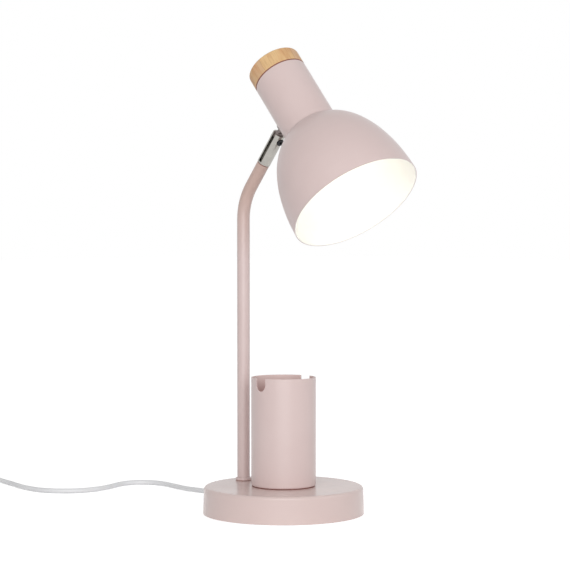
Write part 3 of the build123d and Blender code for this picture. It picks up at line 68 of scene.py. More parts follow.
# Mains cord: routes as control points, and the coil that puts its spare length away
CORD_DIAMETER = 0.005
CORD_SECTION_STEPS = 5
CORD_LINE_STEPS = 10
LEAD_POINTS = (
    (-0.100, 0.000, 0.0095),
    (-0.124, 0.000, 0.0095),
    (-0.157, 0.021, 0.0047),
    (-0.189, 0.035, 0.0026),
    (-0.220, 0.041, 0.0026),
    (-0.243, 0.030, 0.0026),
    (-0.246, 0.007, 0.0026),
    (-0.232, -0.024, 0.0026),
    (-0.234, -0.056, 0.0026),
    (-0.258, -0.079, 0.0026),
    (-0.292, -0.080, 0.0026),
    (-0.328, -0.070, 0.0026),
    (-0.352, -0.067, 0.0032),
    (-0.374, -0.066, 0.0070),
    (-0.392, -0.066, 0.0070),
)
TAIL_POINTS = (
    (-0.454, -0.066, 0.0070),
    (-0.465, -0.066, 0.0070),
    (-0.477, -0.0666, 0.0032),
    (-0.487, -0.0666, 0.0032),
)
PLUG_POINTS = (
    (-0.487, -0.1426, 0.0088),
    (-0.474, -0.1426, 0.0088),
    (-0.458, -0.1410, 0.00695),
    (-0.446, -0.1410, 0.00695),
)
COIL_CENTRE = Vector((-0.492, -0.1046, 0.0))
COIL_TURNS = 6.5
COIL_POINTS_PER_TURN = 16
COIL_OUTER_RADIUS = 0.038
COIL_PITCH = 0.0056
COIL_Z = 0.0032
TURN_BACK_SPAN = 0.5

# The hook-and-loop strap round the coil
STRAP_WIDTH = 0.009
STRAP_THICKNESS = 0.0006
STRAP_OVERLAP = 0.012
STRAP_CORNER = 0.0028
STRAP_CORNER_STEPS = 6
STRAP_FLAT_PIECES, STRAP_SIDE_PIECES = 4, 2
STRAP_MERGE = 1e-6

# Floor, background and light. A softbox is its name, place, width, watts and tint
WHITE = (1.0, 1.0, 1.0, 1.0)
FLOOR_TONES = (0.90, 0.90, 0.90, 1.0), (0.92, 0.92, 0.92, 1.0)
FLOOR_HALF_WIDTH = 12.0
FLOOR_CELLS = 4
FLOOR_GLOW = 0.6
AMBIENT_LIGHT, SEEN_BACKGROUND = 0.455, 1.0
LIGHTS_AIM = Vector((0.0, 0.0, 0.2))
SOFTBOXES = (
    ("front_softbox", (1.5, -1.5, 0.55), 1.8, 34.5, (1.0, 1.0, 1.0)),
    ("right_softbox", (1.4, 1.0, 0.9), 1.05, 3.9, (0.94, 0.98, 1.0)),
)


def add_object(name, data):
    """A new object in the scene."""
    item = bpy.data.objects.new(name, data)
    bpy.context.scene.collection.objects.link(item)
    return item


def mesh_object(name, built, material):
    """An object in the scene from a finished bmesh, with its material."""
    mesh = bpy.data.meshes.new(name)
    built.to_mesh(mesh)
    built.free()
    mesh.materials.append(material)
    return add_object(name, mesh)


def place_and_turn(item, place, ahead):
    """Put a camera or a light at a place, looking ahead."""
    item.location = place
    item.rotation_euler = ahead.to_track_quat("-Z", "Y").to_euler()


def make_camera():
    """The photograph's view, with no shift and no depth of field."""
    lens = bpy.data.cameras.new("camera")
    lens.lens = CAMERA_LENS
    lens.sensor_width = SENSOR_WIDTH
    lens.clip_start, lens.clip_end = NEAR_CLIP, FAR_CLIP
    camera = add_object("camera", lens)
    level = cos(CAMERA_DIP)
    ahead = Vector(
        (-sin(CAMERA_AZIMUTH) * level, cos(CAMERA_AZIMUTH) * level, -sin(CAMERA_DIP))
    )
    place_and_turn(camera, CAMERA_PLACE, ahead)
    bpy.context.scene.camera = camera


# Shader nodes


def fill_socket(tree, socket, value):
    """Link another node's output to a socket, or put a value on it."""
    if isinstance(value, bpy.types.NodeSocket):
        tree.links.new(value, socket)
    else:
        socket.default_value = value


def add_node(tree, kind, settings=(), **values):
    """A node with its settings, and values on its inputs, given by name or as i and a number."""
    node = tree.nodes.new("ShaderNode" + kind)
    for field, setting in settings:
        setattr(node, field, setting)
    for label, value in values.items():
        numbered = label[0] == "i" and label[1:].isdigit()
        fill_socket(tree, node.inputs[int(label[1:]) if numbered else label], value)
    return node


def add_math(tree, operation, first, second=0.0):
    """A Math node's result."""
    return add_node(tree, "Math", [("operation", operation)], i0=first, i1=second).outputs[0]


def add_power(tree, length, whole, power):
    """A length over a whole, raised to a power."""
    return add_math(tree, "POWER", add_math(tree, "DIVIDE", length, whole), power)


def add_mix(tree, share, first, second):
    """Two colours mixed by a share from 0 to 1."""
    settings = [("data_type", "RGBA")]
    return add_node(tree, "Mix", settings, i0=share, i6=first, i7=second).outputs[2]


def add_range(tree, value, low, high, to_low, to_high):
    """A value moved from one range to another, and held inside it."""
    return add_node(
        tree, "MapRange", Value=value, i1=low, i2=high, i3=to_low, i4=to_high
    ).outputs[0]


def add_share(tree, value, low, high, most=1.0):
    """A share that is 0 up to a value's low mark, and at its most from the high mark on."""
    return add_range(tree, value, low, high, 0.0, most)


def add_noise(tree, place, scale, detail=2.0, roughness=0.5):
    """A noise's value at a place."""
    return add_node(
        tree, "TexNoise", Vector=place, Scale=scale, Detail=detail, Roughness=roughness
    ).outputs[0]


NOISE_LOW, NOISE_HIGH = 0.3, 0.7


def spread_noise(tree, noise, to_low=0.0, to_high=1.0):
    """The part of a noise's reach where most of it lies, spread over a whole range."""
    return add_range(tree, noise, NOISE_LOW, NOISE_HIGH, to_low, to_high)


def split_place(tree, place):
    """A place's three coordinates."""
    return add_node(tree, "SeparateXYZ", Vector=place).outputs


def radius_from(tree, across, ahead):
    """How far a point is from an axis, from its two distances across it."""
    squares = [add_math(tree, "MULTIPLY", side, side) for side in (across, ahead)]
    return add_math(tree, "SQRT", add_math(tree, "ADD", *squares))


def object_place(tree, origin=None, turn_y=0.0):
    """Object coordinates, seen from an origin and turned about Y where they are given."""
    place = add_node(tree, "TexCoord").outputs["Object"]
    if origin is None:
        return place
    return add_node(
        tree, "Mapping", [("vector_type", "TEXTURE")],
        Vector=place, Location=origin, Rotation=(0.0, turn_y, 0.0),
    ).outputs[0]


# Node groups shared by the finishes


SMEAR_SCALE = 2.3
CLOUD_DETAIL, SMEAR_DETAIL, GRAIN_DETAIL, LINE_DETAIL = 3.0, 4.0, 3.0, 4.0
GRAIN_ROUGHNESS, LINE_ROUGHNESS = 0.55, 0.6


def add_group(name, inputs, outputs):
    """An empty shader node group with named sockets, and its two end nodes."""
    tree = bpy.data.node_groups.new(name, "ShaderNodeTree")
    for direction, sockets in (("INPUT", inputs), ("OUTPUT", outputs)):
        for label, kind in sockets:
            tree.interface.new_socket(
                name=label, in_out=direction, socket_type="NodeSocket" + kind
            )
    entry, leave = tree.nodes.new("NodeGroupInput"), tree.nodes.new("NodeGroupOutput")
    return tree, entry.outputs, leave.inputs


def make_cloudy_finish():
    """Two close tones in soft clouds, a roughness that drifts, and a fine grain to raise."""
    tree, given, made = add_group(
        "cloudy_finish",
        [
            ("Place", "Vector"), ("Tone", "Color"), ("Other tone", "Color"),
            ("Cloud scale", "Float"), ("Grain scale", "Float"),
            ("Smoothest", "Float"), ("Roughest", "Float"),
        ],
        [("Color", "Color"), ("Roughness", "Float"), ("Height", "Float")],
    )
    place = given["Place"]
    clouds = spread_noise(tree, add_noise(tree, place, given["Cloud scale"], CLOUD_DETAIL))
    smear_scale = add_math(tree, "MULTIPLY", given["Cloud scale"], SMEAR_SCALE)
    smears = spread_noise(
        tree, add_noise(tree, place, smear_scale, SMEAR_DETAIL),
        given["Smoothest"], given["Roughest"],
    )
    grain = add_noise(tree, place, given["Grain scale"], GRAIN_DETAIL, GRAIN_ROUGHNESS)
    tree.links.new(add_mix(tree, clouds, given["Tone"], given["Other tone"]), made["Color"])
    tree.links.new(smears, made["Roughness"])
    tree.links.new(grain, made["Height"])
    return tree


def make_drawn_lines():
    """Fine lines that run one way: tool marks, or the fibres of wood and felt."""
    tree, given, made = add_group(
        "drawn_lines",
        [("Place", "Vector"), ("Stretch", "Vector"), ("Scale", "Float")],
        [("Lines", "Float")],
    )
    place = add_node(
        tree, "VectorMath", [("operation", "MULTIPLY")], i0=given["Place"], i1=given["Stretch"]
    ).outputs[0]
    lines = add_noise(tree, place, given["Scale"], LINE_DETAIL, LINE_ROUGHNESS)
    tree.links.new(lines, made["Lines"])
    return tree


CLOUDY_FINISH = make_cloudy_finish()
DRAWN_LINES = make_drawn_lines()


def add_shared(tree, group, **values):
    """A shared node group, with its inputs set by name."""
    node = tree.nodes.new("ShaderNodeGroup")
    node.node_tree = group
    for label, value in values.items():
        fill_socket(tree, node.inputs[label.replace("_", " ")], value)
    return node.outputs


def draw_lines(tree, place, stretch, scale):
    """The value of fine lines that run one way."""
    return add_shared(tree, DRAWN_LINES, Place=place, Stretch=stretch, Scale=scale)["Lines"]


# Finishes


def start_finish(name, **constants):
    """A material with a Principled shader that has those constants on its sockets."""
    material = bpy.data.materials.new(name)
    material.use_nodes = True
    tree = material.node_tree
    shader = tree.nodes["Principled BSDF"]
    for label, value in constants.items():
        shader.inputs[label.replace("_", " ")].default_value = value
    return material, tree, shader


def lay_finish(tree, shader, color, roughness, grain, lift):
    """Link a colour and a roughness to the shader, and raise the grain by a lift in metres."""
    tree.links.new(color, shader.inputs["Base Color"])
    tree.links.new(roughness, shader.inputs["Roughness"])
    bump = add_node(tree, "Bump", Height=grain, Strength=1.0, Distance=lift)
    tree.links.new(bump.outputs[0], shader.inputs["Normal"])


def rgb(red, green, blue):
    """A colour as written for a screen, from 0 to 255, made linear."""
    return tuple(
        c / 12.92 if c <= 0.04045 else ((c + 0.055) / 1.055) ** 2.4
        for c in (red / 255, green / 255, blue / 255)
    ) + (1.0,)


def cloudy_material(name, tone, other_tone, clouds, grain, smooth, rough, lift, **constants):
    """A finish that is all cloudy_finish: painted, plated, moulded or cast."""
    material, tree, shader = start_finish(name, **constants)
    finish = add_shared(
        tree, CLOUDY_FINISH, Place=object_place(tree), Tone=tone, Other_tone=other_tone,
        Cloud_scale=clouds, Grain_scale=grain, Smoothest=smooth, Roughest=rough,
    )
    lay_finish(tree, shader, finish["Color"], finish["Roughness"], finish["Height"], lift)
    return material


# Powder coat, with its painted shade and light, and the painted shadow lines at its joints
PINK = rgb(212, 192, 189)
PINK_SHADE = rgb(209, 188, 185)
BASE_PINK = rgb(215, 195, 191)
BASE_PINK_SHADE = rgb(212, 191, 187)
# Painted shade, darker and redder, on the stem's bend beneath the head
STEM_PAINTED_SHADE_PINK = rgb(197, 170, 160)
# Painted shade deep inside the cup, and painted light near its rim
CUP_PAINTED_SHADE_PINK = rgb(192, 148, 142)
CUP_PAINTED_LIGHT_PINK = rgb(234, 211, 207)
PAINT_WHITE = rgb(246, 245, 241)
PAINT_WHITE_SHADE = rgb(240, 239, 234)
# Painted shadow for the gaps where parts meet the powder coat
JOINT_SHADOW_BROWN = rgb(146, 100, 88)
POWDER_CLOUDS, POWDER_GRAIN, POWDER_LIFT = 18.0, 800.0, 0.00001
SATIN_SMOOTH, SATIN_ROUGH = 0.28, 0.33
# Heights where the stem's painted shade starts and where it is full
STEM_SHADE_START, STEM_SHADE_FULL = 0.235, 0.30
# Where the painted shadow lines lie: at the collar's foot and under the clamp
COLLAR_JOINT, COLLAR_JOINT_EDGE = 0.0005, 0.00075
CLAMP_JOINT_EDGE, CLAMP_JOINT = -0.0006, -0.0004
CUP_SKIN = 0.0006
CUP_RIM_DEPTH = 0.022


def add_powder_coat(tree, place):
    """Satin dusty pink powder coat with faint orange peel."""
    return add_shared(
        tree, CLOUDY_FINISH, Place=place, Tone=PINK, Other_tone=PINK_SHADE,
        Cloud_scale=POWDER_CLOUDS, Grain_scale=POWDER_GRAIN,
        Smoothest=SATIN_SMOOTH, Roughest=SATIN_ROUGH,
    )


def make_cup_paint_with_painted_shade():
    """Powder coat; inside the cup, painted shade, darker and redder deep down, lifting to painted
    light at the rim.
    """
    material, tree, shader = start_finish("cup_powder_coat_painted_shade")
    coat = add_powder_coat(tree, object_place(tree))
    low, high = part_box("pen_cup")
    middle = (low + high) / 2
    across, ahead, height = split_place(
        tree, object_place(tree, (middle.x, middle.y, high.z))
    )
    radius = radius_from(tree, across, ahead)
    inside = add_math(tree, "LESS_THAN", radius, (high.x - low.x) / 2 - CUP_SKIN)
    # Painted light near the rim, fading into painted shade further down the inside
    rim_light_share = add_share(tree, height, -CUP_RIM_DEPTH, 0.0)
    inner = add_mix(tree, rim_light_share, CUP_PAINTED_SHADE_PINK, CUP_PAINTED_LIGHT_PINK)
    color = add_mix(tree, inside, coat["Color"], inner)
    lay_finish(tree, shader, color, coat["Roughness"], coat["Height"], POWDER_LIFT)
    return material


def make_stem_paint():
    """Powder coat with painted shade up the bend, and painted shadow lines at collar and clamp.
    """
    material, tree, shader = start_finish("stem_paint")
    place = object_place(tree)
    height = split_place(tree, place)[2]
    coat = add_powder_coat(tree, place)
    # Painted shade: darker and redder up the bend, beneath the head
    shade_up_bend = add_share(tree, height, STEM_SHADE_START, STEM_SHADE_FULL)
    shaded_coat = add_mix(tree, shade_up_bend, coat["Color"], STEM_PAINTED_SHADE_PINK)
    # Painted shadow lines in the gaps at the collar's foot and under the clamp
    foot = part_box("stem_collar")[0].z
    collar_shadow = add_range(tree, height, foot + COLLAR_JOINT, foot + COLLAR_JOINT_EDGE, 1.0, 0.0)
    along = split_place(tree, object_place(tree, CLAMP_ORIGIN, CLAMP_LEAN))[2]
    clamp_shadow = add_share(tree, along, CLAMP_JOINT_EDGE, CLAMP_JOINT)
    joint_shadows = add_math(tree, "MAXIMUM", collar_shadow, clamp_shadow)
    color = add_mix(tree, joint_shadows, shaded_coat, JOINT_SHADOW_BROWN)
    lay_finish(tree, shader, color, coat["Roughness"], coat["Height"], POWDER_LIFT)
    return material


def make_shade_paint():
    """Powder coat outside the shade, and plain white paint on its inside."""
    material, tree, shader = start_finish("shade_paint")
    place = object_place(tree)
    behind, across, along = split_place(tree, object_place(tree, HEAD_ORIGIN, HEAD_TURN))
    radius = radius_from(tree, behind, across)
    wide = add_power(tree, radius, DOME_RADIUS, DOME_FULLNESS)
    from_mouth = add_math(tree, "SUBTRACT", DOME_MOUTH, along)
    high = add_power(tree, from_mouth, DOME_RISE, DOME_ROUNDNESS)
    in_dome = add_math(tree, "LESS_THAN", add_math(tree, "ADD", wide, high), 1.0)
    in_neck = add_math(
        tree, "MULTIPLY",
        add_math(tree, "LESS_THAN", radius, NECK_BORE),
        add_math(tree, "GREATER_THAN", along, NECK_TOP_WALL),
    )
    inside = add_math(tree, "MAXIMUM", in_dome, in_neck)
    outer = add_powder_coat(tree, place)
    inner = add_shared(
        tree, CLOUDY_FINISH, Place=place, Tone=PAINT_WHITE, Other_tone=PAINT_WHITE_SHADE,
        Cloud_scale=25.0, Smoothest=0.45, Roughest=0.55,
    )
    color = add_mix(tree, inside, outer["Color"], inner["Color"])
    roughness = add_range(tree, inside, 0.0, 1.0, outer["Roughness"], inner["Roughness"])
    lay_finish(tree, shader, color, roughness, outer["Height"], POWDER_LIFT)
    return material


# The wooden cap
STRIP_WIDTH = 0.0093
STRIP_TURN = radians(-37.0)
STRIP_WAVE, STRIP_WAVE_SCALE = 0.35, 45.0
STRIP_MIDDLE = 0.5
SEAM_EDGE = 0.475
TONE_DRAW, HUE_DRAW = 15.5, 40.5
CAP_JOINT = 0.0005
WOOD_GOLD = rgb(222, 186, 136)
WOOD_BROWN = rgb(182, 138, 84)
WOOD_PALE = rgb(208, 170, 136)
WOOD_FLECK = rgb(198, 140, 92)
WOOD_FIBRE = rgb(168, 120, 78)
WOOD_GLUE = rgb(150, 100, 62)
# Painted shadow where the cap sits on the neck
CAP_JOINT_SHADOW_BROWN = rgb(128, 72, 58)


def draw_for_strip(tree, strip, start):
    """A value from 0 to 1 drawn for each strip, from a start in the noise."""
    return add_node(
        tree, "TexWhiteNoise", [("noise_dimensions", "1D")],
        W=add_math(tree, "ADD", strip, start),
    ).outputs["Value"]


def make_cap_wood():
    """Light laminated wood: strips of differing tone, fibres along the axis, glue lines, shadow
    painted at the neck.
    """
    material, tree, shader = start_finish("laminated_wood")
    head = object_place(tree, HEAD_ORIGIN, HEAD_TURN)
    turned = add_node(tree, "Mapping", Vector=head, Rotation=(0.0, 0.0, STRIP_TURN)).outputs[0]
    across, _, along = split_place(tree, turned)
    wave = add_math(tree, "MULTIPLY", add_noise(tree, turned, STRIP_WAVE_SCALE), STRIP_WAVE)
    strips = add_math(tree, "ADD", add_math(tree, "DIVIDE", across, STRIP_WIDTH), wave)
    strip = add_math(tree, "FLOOR", strips)
    tone = draw_for_strip(tree, strip, TONE_DRAW)
    fibres = draw_lines(tree, turned, stretch=(1.0, 1.0, 0.05), scale=1500.0)
    figure = draw_lines(tree, turned, stretch=(1.0, 0.6, 0.12), scale=260.0)
    hue = draw_for_strip(tree, strip, HUE_DRAW)
    golden = add_mix(tree, tone, WOOD_GOLD, WOOD_BROWN)
    pale = add_share(tree, hue, low=0.35, high=1.0, most=0.75)
    paled = add_mix(tree, pale, golden, WOOD_PALE)
    fleck = add_share(tree, figure, low=0.45, high=0.68, most=0.85)
    flecked = add_mix(tree, fleck, paled, WOOD_FLECK)
    fibre = add_share(tree, fibres, low=0.5, high=0.75, most=0.45)
    lined = add_mix(tree, fibre, flecked, WOOD_FIBRE)
    in_strip = add_math(tree, "SUBTRACT", add_math(tree, "FRACT", strips), STRIP_MIDDLE)
    from_middle = add_math(tree, "ABSOLUTE", in_strip)
    seam = add_share(tree, from_middle, SEAM_EDGE, STRIP_MIDDLE, most=0.55)
    glued = add_mix(tree, seam, lined, WOOD_GLUE)
    # Painted shadow line in the gap where the cap sits on the neck
    joint_shadow = add_share(tree, along, -2 * CAP_JOINT, -CAP_JOINT)
    color = add_mix(tree, joint_shadow, glued, CAP_JOINT_SHADOW_BROWN)
    roughness = spread_noise(tree, fibres, to_low=0.42, to_high=0.58)
    lay_finish(tree, shader, color, roughness, fibres, lift=0.00008)
    return material


def turned_metal(name, tone, other_tone, smooth, rough):
    """Metal turned about the clamp's axis: tool marks run round it."""
    material, tree, shader = start_finish(name, Metallic=1.0)
    place = object_place(tree, CLAMP_ORIGIN, CLAMP_LEAN)
    finish = add_shared(
        tree, CLOUDY_FINISH, Place=place, Tone=tone, Other_tone=other_tone,
        Cloud_scale=120.0, Smoothest=smooth, Roughest=rough,
    )
    marks = draw_lines(tree, place, stretch=(0.03, 0.03, 1.0), scale=4000.0)
    lay_finish(tree, shader, finish["Color"], finish["Roughness"], marks, lift=0.00001)
    return material


def make_opal_glass():
    """The lit bulb: opal glass with a warm and almost even glow."""
    material, tree, shader = start_finish(
        "lit_opal_glass", Roughness=0.25, Emission_Strength=2.6
    )
    clouds = spread_noise(tree, add_noise(tree, object_place(tree), scale=60.0))
    glow = add_mix(tree, clouds, rgb(255, 252, 246), rgb(255, 249, 238))
    tree.links.new(glow, shader.inputs["Base Color"])
    tree.links.new(glow, shader.inputs["Emission Color"])
    return material


LOOP_TINT, CLOUD_TINT = 0.5, 0.6


def make_strap_cloth():
    """Loop pile of a hook-and-loop strap."""
    material, tree, shader = start_finish(
        "strap_cloth", Sheen_Weight=0.25, Specular_IOR_Level=0.3
    )
    place = object_place(tree)
    loops = add_node(tree, "TexVoronoi", Vector=place, Scale=1600.0).outputs["Distance"]
    clouds = add_noise(tree, place, scale=350.0, detail=CLOUD_DETAIL)
    tint = add_math(
        tree, "ADD",
        add_math(tree, "MULTIPLY", loops, LOOP_TINT),
        add_math(tree, "MULTIPLY", clouds, CLOUD_TINT),
    )
    color = add_mix(tree, tint, rgb(238, 238, 238), rgb(205, 205, 206))
    roughness = spread_noise(tree, clouds, to_low=0.85, to_high=0.95)
    lay_finish(tree, shader, color, roughness, loops, lift=-0.0002)
    return material


FELT_THIN, FELT_THICK = 0.1, 0.4


def make_felt():
    """Needled felt: short fibres that lie across each other."""
    material, tree, shader = start_finish("foot_felt", Sheen_Weight=0.3, Specular_IOR_Level=0.2)
    place = object_place(tree)
    fibres = draw_lines(tree, place, stretch=(1.0, 0.25, 0.6), scale=2600.0)
    crossed = draw_lines(tree, place, stretch=(0.25, 1.0, 0.6), scale=2300.0)
    mat = add_math(tree, "MULTIPLY", fibres, crossed)
    thickness = add_share(tree, mat, FELT_THIN, FELT_THICK)
    color = add_mix(tree, thickness, rgb(38, 38, 40), rgb(78, 77, 78))
    roughness = add_range(tree, mat, FELT_THIN, FELT_THICK, to_low=0.85, to_high=0.97)
    lay_finish(tree, shader, color, roughness, mat, lift=0.0004)
    return material


def make_cord_sheath():
    """White PVC: nearly even, with a soft shine."""
    return cloudy_material(
        "white_cord_sheath", rgb(233, 233, 234), rgb(227, 227, 229),
        clouds=30.0, grain=1500.0, smooth=0.34, rough=0.44, lift=0.00003,
    )


def dress(material, *names):
    """Put a finish on every slot of the CAD nodes named."""
    for name in names:
        for slot in nodes[name].material_slots:
            slot.material = material


def dress_nodes():
    """Give every CAD node its finish, except the cord's, which make_cords gives."""
    dress(
        cloudy_material(
            "white_moulded_plastic", rgb(236, 236, 236), rgb(231, 231, 232),
            clouds=60.0, grain=2600.0, smooth=0.36, rough=0.46, lift=0.00004,
        ),
        "switch_base", "switch_cover", "switch_rocker", "plug_body",
    )
    dress(
        cloudy_material(
            "zinc_plated_steel", rgb(196, 197, 198), rgb(176, 178, 182),
            clouds=260.0, grain=1800.0, smooth=0.28, rough=0.42, lift=0.00002, Metallic=1.0,
        ),
        "plate_screws", "base_plate", "stem_washer", "stem_nut", "stem_nipple", "cup_screws",
        "clamp_nut", "lug_washer", "lug_nut", "cap_screws", "holder_nipple", "nipple_nut",
        "switch_screws",
    )
    dress(
        turned_metal("chrome_plate", rgb(173, 170, 164), rgb(161, 158, 153), 0.14, 0.22),
        "clamp_body",
    )
    dress(
        cloudy_material(
            "pressed_brass", rgb(214, 184, 122), rgb(196, 163, 101),
            clouds=200.0, grain=1500.0, smooth=0.28, rough=0.38, lift=0.00002, Metallic=1.0,
        ),
        "lampholder_sleeve", "centre_contact",
    )
    dress(
        cloudy_material(
            "inner_cable_sheath", rgb(226, 226, 222), rgb(216, 216, 212),
            clouds=90.0, grain=1200.0, smooth=0.4, rough=0.5, lift=0.00003,
        ),
        "stem_cable", "head_cable",
    )
    dress(make_cup_paint_with_painted_shade(), "pen_cup")
    dress(
        cloudy_material(
            "base_powder_coat", BASE_PINK, BASE_PINK_SHADE,
            clouds=POWDER_CLOUDS, grain=POWDER_GRAIN, smooth=0.21, rough=0.265,
            lift=POWDER_LIFT, Specular_IOR_Level=0.38,
        ),
        "base_shell",
    )
    dress(make_stem_paint(), "stem_tube", "stem_collar")
    dress(make_shade_paint(), "shade")
    dress(make_cap_wood(), "wood_cap")
    dress(
        turned_metal("dark_satin_steel", rgb(142, 131, 128), rgb(118, 109, 108), 0.3, 0.42),
        "head_lug",
    )
    dress(
        turned_metal("blackened_steel", rgb(52, 52, 54), rgb(38, 38, 40), 0.28, 0.42),
        "clamp_screw",
    )
    dress(
        cloudy_material(
            "grey_cast_iron", rgb(96, 95, 94), rgb(74, 73, 73),
            clouds=90.0, grain=900.0, smooth=0.55, rough=0.8, lift=0.0004, Metallic=0.6,
        ),
        "base_weight",
    )
    dress(make_felt(), "foot_pad")
    # A dark rubber gasket; its red-brown tone is painted shadow and pink bounce in the gap under
    # the cup
    dress(
        cloudy_material(
            "gasket_rubber_painted_shadow", rgb(126, 76, 66), rgb(108, 62, 54),
            clouds=120.0, grain=1400.0, smooth=0.6, rough=0.75, lift=0.00005,
        ),
        "cup_gasket",
    )
    dress(
        cloudy_material(
            "white_thermoset", rgb(238, 237, 232), rgb(229, 228, 222),
            clouds=80.0, grain=900.0, smooth=0.3, rough=0.42, lift=0.00004,
        ),
        "lampholder_body",
    )
    dress(
        cloudy_material(
            "bright_nickel", rgb(208, 206, 202), rgb(190, 188, 184),
            clouds=180.0, grain=1500.0, smooth=0.16, rough=0.26, lift=0.00001, Metallic=1.0,
        ),
        "bulb_cap", "plug_pins",
    )
    dress(make_opal_glass(), "bulb_globe")


# Cord and strap


def coil_point(turn):
    """Centre of the coiled cord: a spiral in on the table, a climb, and a spiral out on top."""
    turn_back = (COIL_TURNS - TURN_BACK_SPAN) / 2
    step = min(max((turn - turn_back) / TURN_BACK_SPAN, 0.0), 1.0)
    wound_in = min(turn, turn_back) + TURN_BACK_SPAN * (step - step**2)
    wound_in -= max(turn - turn_back - TURN_BACK_SPAN, 0.0)
    radius = COIL_OUTER_RADIUS - COIL_PITCH * wound_in
    angle = pi / 2 + 2 * pi * turn
    height = COIL_Z + COIL_PITCH * (3 * step**2 - 2 * step**3)
    return COIL_CENTRE + Vector((radius * cos(angle), radius * sin(angle), height))


def smooth_cord(name, points, material):
    """One NURBS line through a route's control points, with the cord's round section."""
    line = bpy.data.curves.new(name, "CURVE")
    line.dimensions = "3D"
    line.bevel_depth = CORD_DIAMETER / 2
    line.bevel_resolution = CORD_SECTION_STEPS
    line.resolution_u = CORD_LINE_STEPS
    line.use_fill_caps = True
    spline = line.splines.new("NURBS")
    spline.points.add(len(points) - 1)
    for control, place in zip(spline.points, points):
        control.co = (*place, 1.0)
    spline.order_u = 3
    spline.use_endpoint_u = True
    line.materials.append(material)
    return add_object(name, line)


def make_strap(material):
    """A soft strap once round the coil's turns, with its end lapped over on top."""
    low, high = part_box("cord_tie")
    half = STRAP_THICKNESS / 2
    left, right = low.x + half, high.x - half
    floor, roof = low.z + half, high.z - half - STRAP_THICKNESS
    middle_x, middle_y = (low.x + high.x) / 2, (low.y + high.y) / 2
    strap = bmesh.new()
    start = [
        strap.verts.new((middle_x - STRAP_OVERLAP / 2, middle_y + side * STRAP_WIDTH / 2, roof))
        for side in (-1, 1)
    ]
    edge = [strap.edges.new(start)]

    def run_on(pieces, *step):
        nonlocal edge
        for _ in range(pieces):
            grown = bmesh.ops.extrude_edge_only(strap, edges=edge)["geom"]
            edge = [g for g in grown if isinstance(g, bmesh.types.BMEdge)]
            corners = [g for g in grown if isinstance(g, bmesh.types.BMVert)]
            bmesh.ops.translate(strap, vec=Vector(step) / pieces, verts=corners)

    def turn_down(x, z):
        nonlocal edge
        grown = bmesh.ops.spin(
            strap, geom=edge, cent=(x, middle_y, z), axis=(0, 1, 0), dvec=(0, 0, 0),
            angle=pi / 2, steps=STRAP_CORNER_STEPS, use_merge=False,
        )["geom_last"]
        edge = [g for g in grown if isinstance(g, bmesh.types.BMEdge)]

    near, far = right - STRAP_CORNER, left + STRAP_CORNER
    run_on(STRAP_FLAT_PIECES, near - middle_x + STRAP_OVERLAP / 2, 0, 0)
    turn_down(near, roof - STRAP_CORNER)
    run_on(STRAP_SIDE_PIECES, 0, 0, floor + 2 * STRAP_CORNER - roof)
    turn_down(near, floor + STRAP_CORNER)
    run_on(STRAP_FLAT_PIECES, far - near, 0, 0)
    turn_down(far, floor + STRAP_CORNER)
    run_on(STRAP_SIDE_PIECES, 0, 0, roof + STRAP_THICKNESS - floor - 2 * STRAP_CORNER)
    turn_down(far, roof + STRAP_THICKNESS - STRAP_CORNER)
    run_on(STRAP_FLAT_PIECES, middle_x + STRAP_OVERLAP / 2 - far, 0, 0)
    bmesh.ops.remove_doubles(strap, verts=strap.verts, dist=STRAP_MERGE)
    bmesh.ops.recalc_face_normals(strap, faces=strap.faces)
    piece = mesh_object("hook_strap", strap, material)
    for face in piece.data.polygons:
        face.use_smooth = True
    thicken = piece.modifiers.new("thickness", "SOLIDIFY")
    thicken.thickness = STRAP_THICKNESS
    thicken.offset = 0.0
    return piece


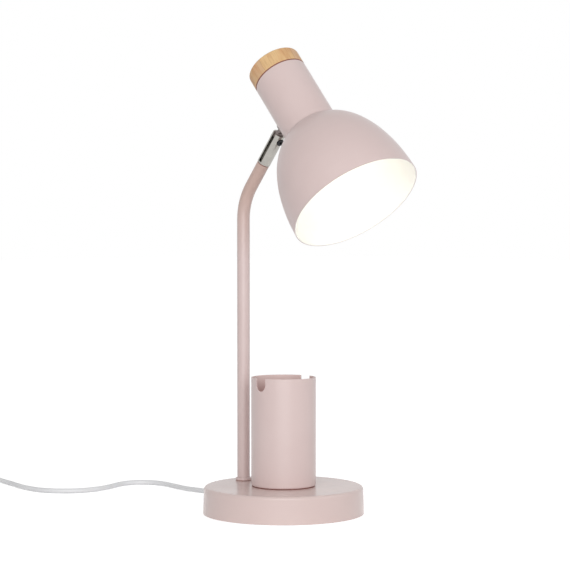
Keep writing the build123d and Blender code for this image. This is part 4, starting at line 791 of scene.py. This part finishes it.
def make_cords():
    """The lead from the base to the switch, and the rest, put away in a coil with its plug."""
    sheath = make_cord_sheath()
    dress(sheath, "cord_grip")
    strap = make_strap(make_strap_cloth())
    lead = smooth_cord("mains_lead", LEAD_POINTS, sheath)
    steps = int(COIL_TURNS * COIL_POINTS_PER_TURN)
    coil = [tuple(coil_point(i / COIL_POINTS_PER_TURN)) for i in range(steps + 1)]
    spare = smooth_cord("put_away_lead", (*TAIL_POINTS, *coil, *PLUG_POINTS), sheath)
    for piece, stood_for, slot in (
        (lead, ("cord_lead",), "cord_rubber"),
        (spare, ("cord_tail", "cord_coil", "plug_lead"), "cord_rubber"),
        (strap, ("cord_tie",), "tie_fabric"),
    ):
        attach(piece, "base")
        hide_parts(*stood_for)


# Stage


def seen_rays(tree):
    """1 for the rays that show a background: camera, gloss and glass."""
    path = add_node(tree, "LightPath").outputs
    return add_math(
        tree, "MAXIMUM", path["Is Camera Ray"],
        add_math(tree, "MAXIMUM", path["Is Glossy Ray"], path["Is Transmission Ray"]),
    )


def make_floor():
    """A white floor that keeps the lamp's shadow."""
    paper, tree, shader = start_finish("floor_paper", Roughness=0.9, Specular_IOR_Level=0.0)
    speckle = add_noise(tree, object_place(tree), scale=30.0)
    tree.links.new(add_mix(tree, speckle, *FLOOR_TONES), shader.inputs["Base Color"])
    shader.inputs["Emission Color"].default_value = WHITE
    glow = add_math(tree, "MULTIPLY", seen_rays(tree), FLOOR_GLOW)
    tree.links.new(glow, shader.inputs["Emission Strength"])
    sheet = bmesh.new()
    bmesh.ops.create_grid(
        sheet, x_segments=FLOOR_CELLS, y_segments=FLOOR_CELLS, size=FLOOR_HALF_WIDTH
    )
    floor = mesh_object("floor", sheet, paper)


def make_background():
    """White where it is seen, and dimmer where it lights the lamp."""
    world = bpy.data.worlds.new("studio")
    bpy.context.scene.world = world
    world.use_nodes = True
    tree = world.node_tree
    background = tree.nodes["Background"]
    background.inputs["Color"].default_value = WHITE
    strength = add_range(tree, seen_rays(tree), 0.0, 1.0, AMBIENT_LIGHT, SEEN_BACKGROUND)
    tree.links.new(strength, background.inputs["Strength"])


def make_softboxes():
    """Square studio lights, turned to the lamp."""
    for name, place, width, power, tint in SOFTBOXES:
        light = bpy.data.lights.new(name, "AREA")
        light.shape = "SQUARE"
        light.size = width
        light.energy = power
        light.color = tint
        place_and_turn(add_object(name, light), place, LIGHTS_AIM - Vector(place))


bpy.context.scene.view_settings.view_transform = "Standard"
make_camera()
make_cords()
dress_nodes()
make_floor()
make_background()
make_softboxes()
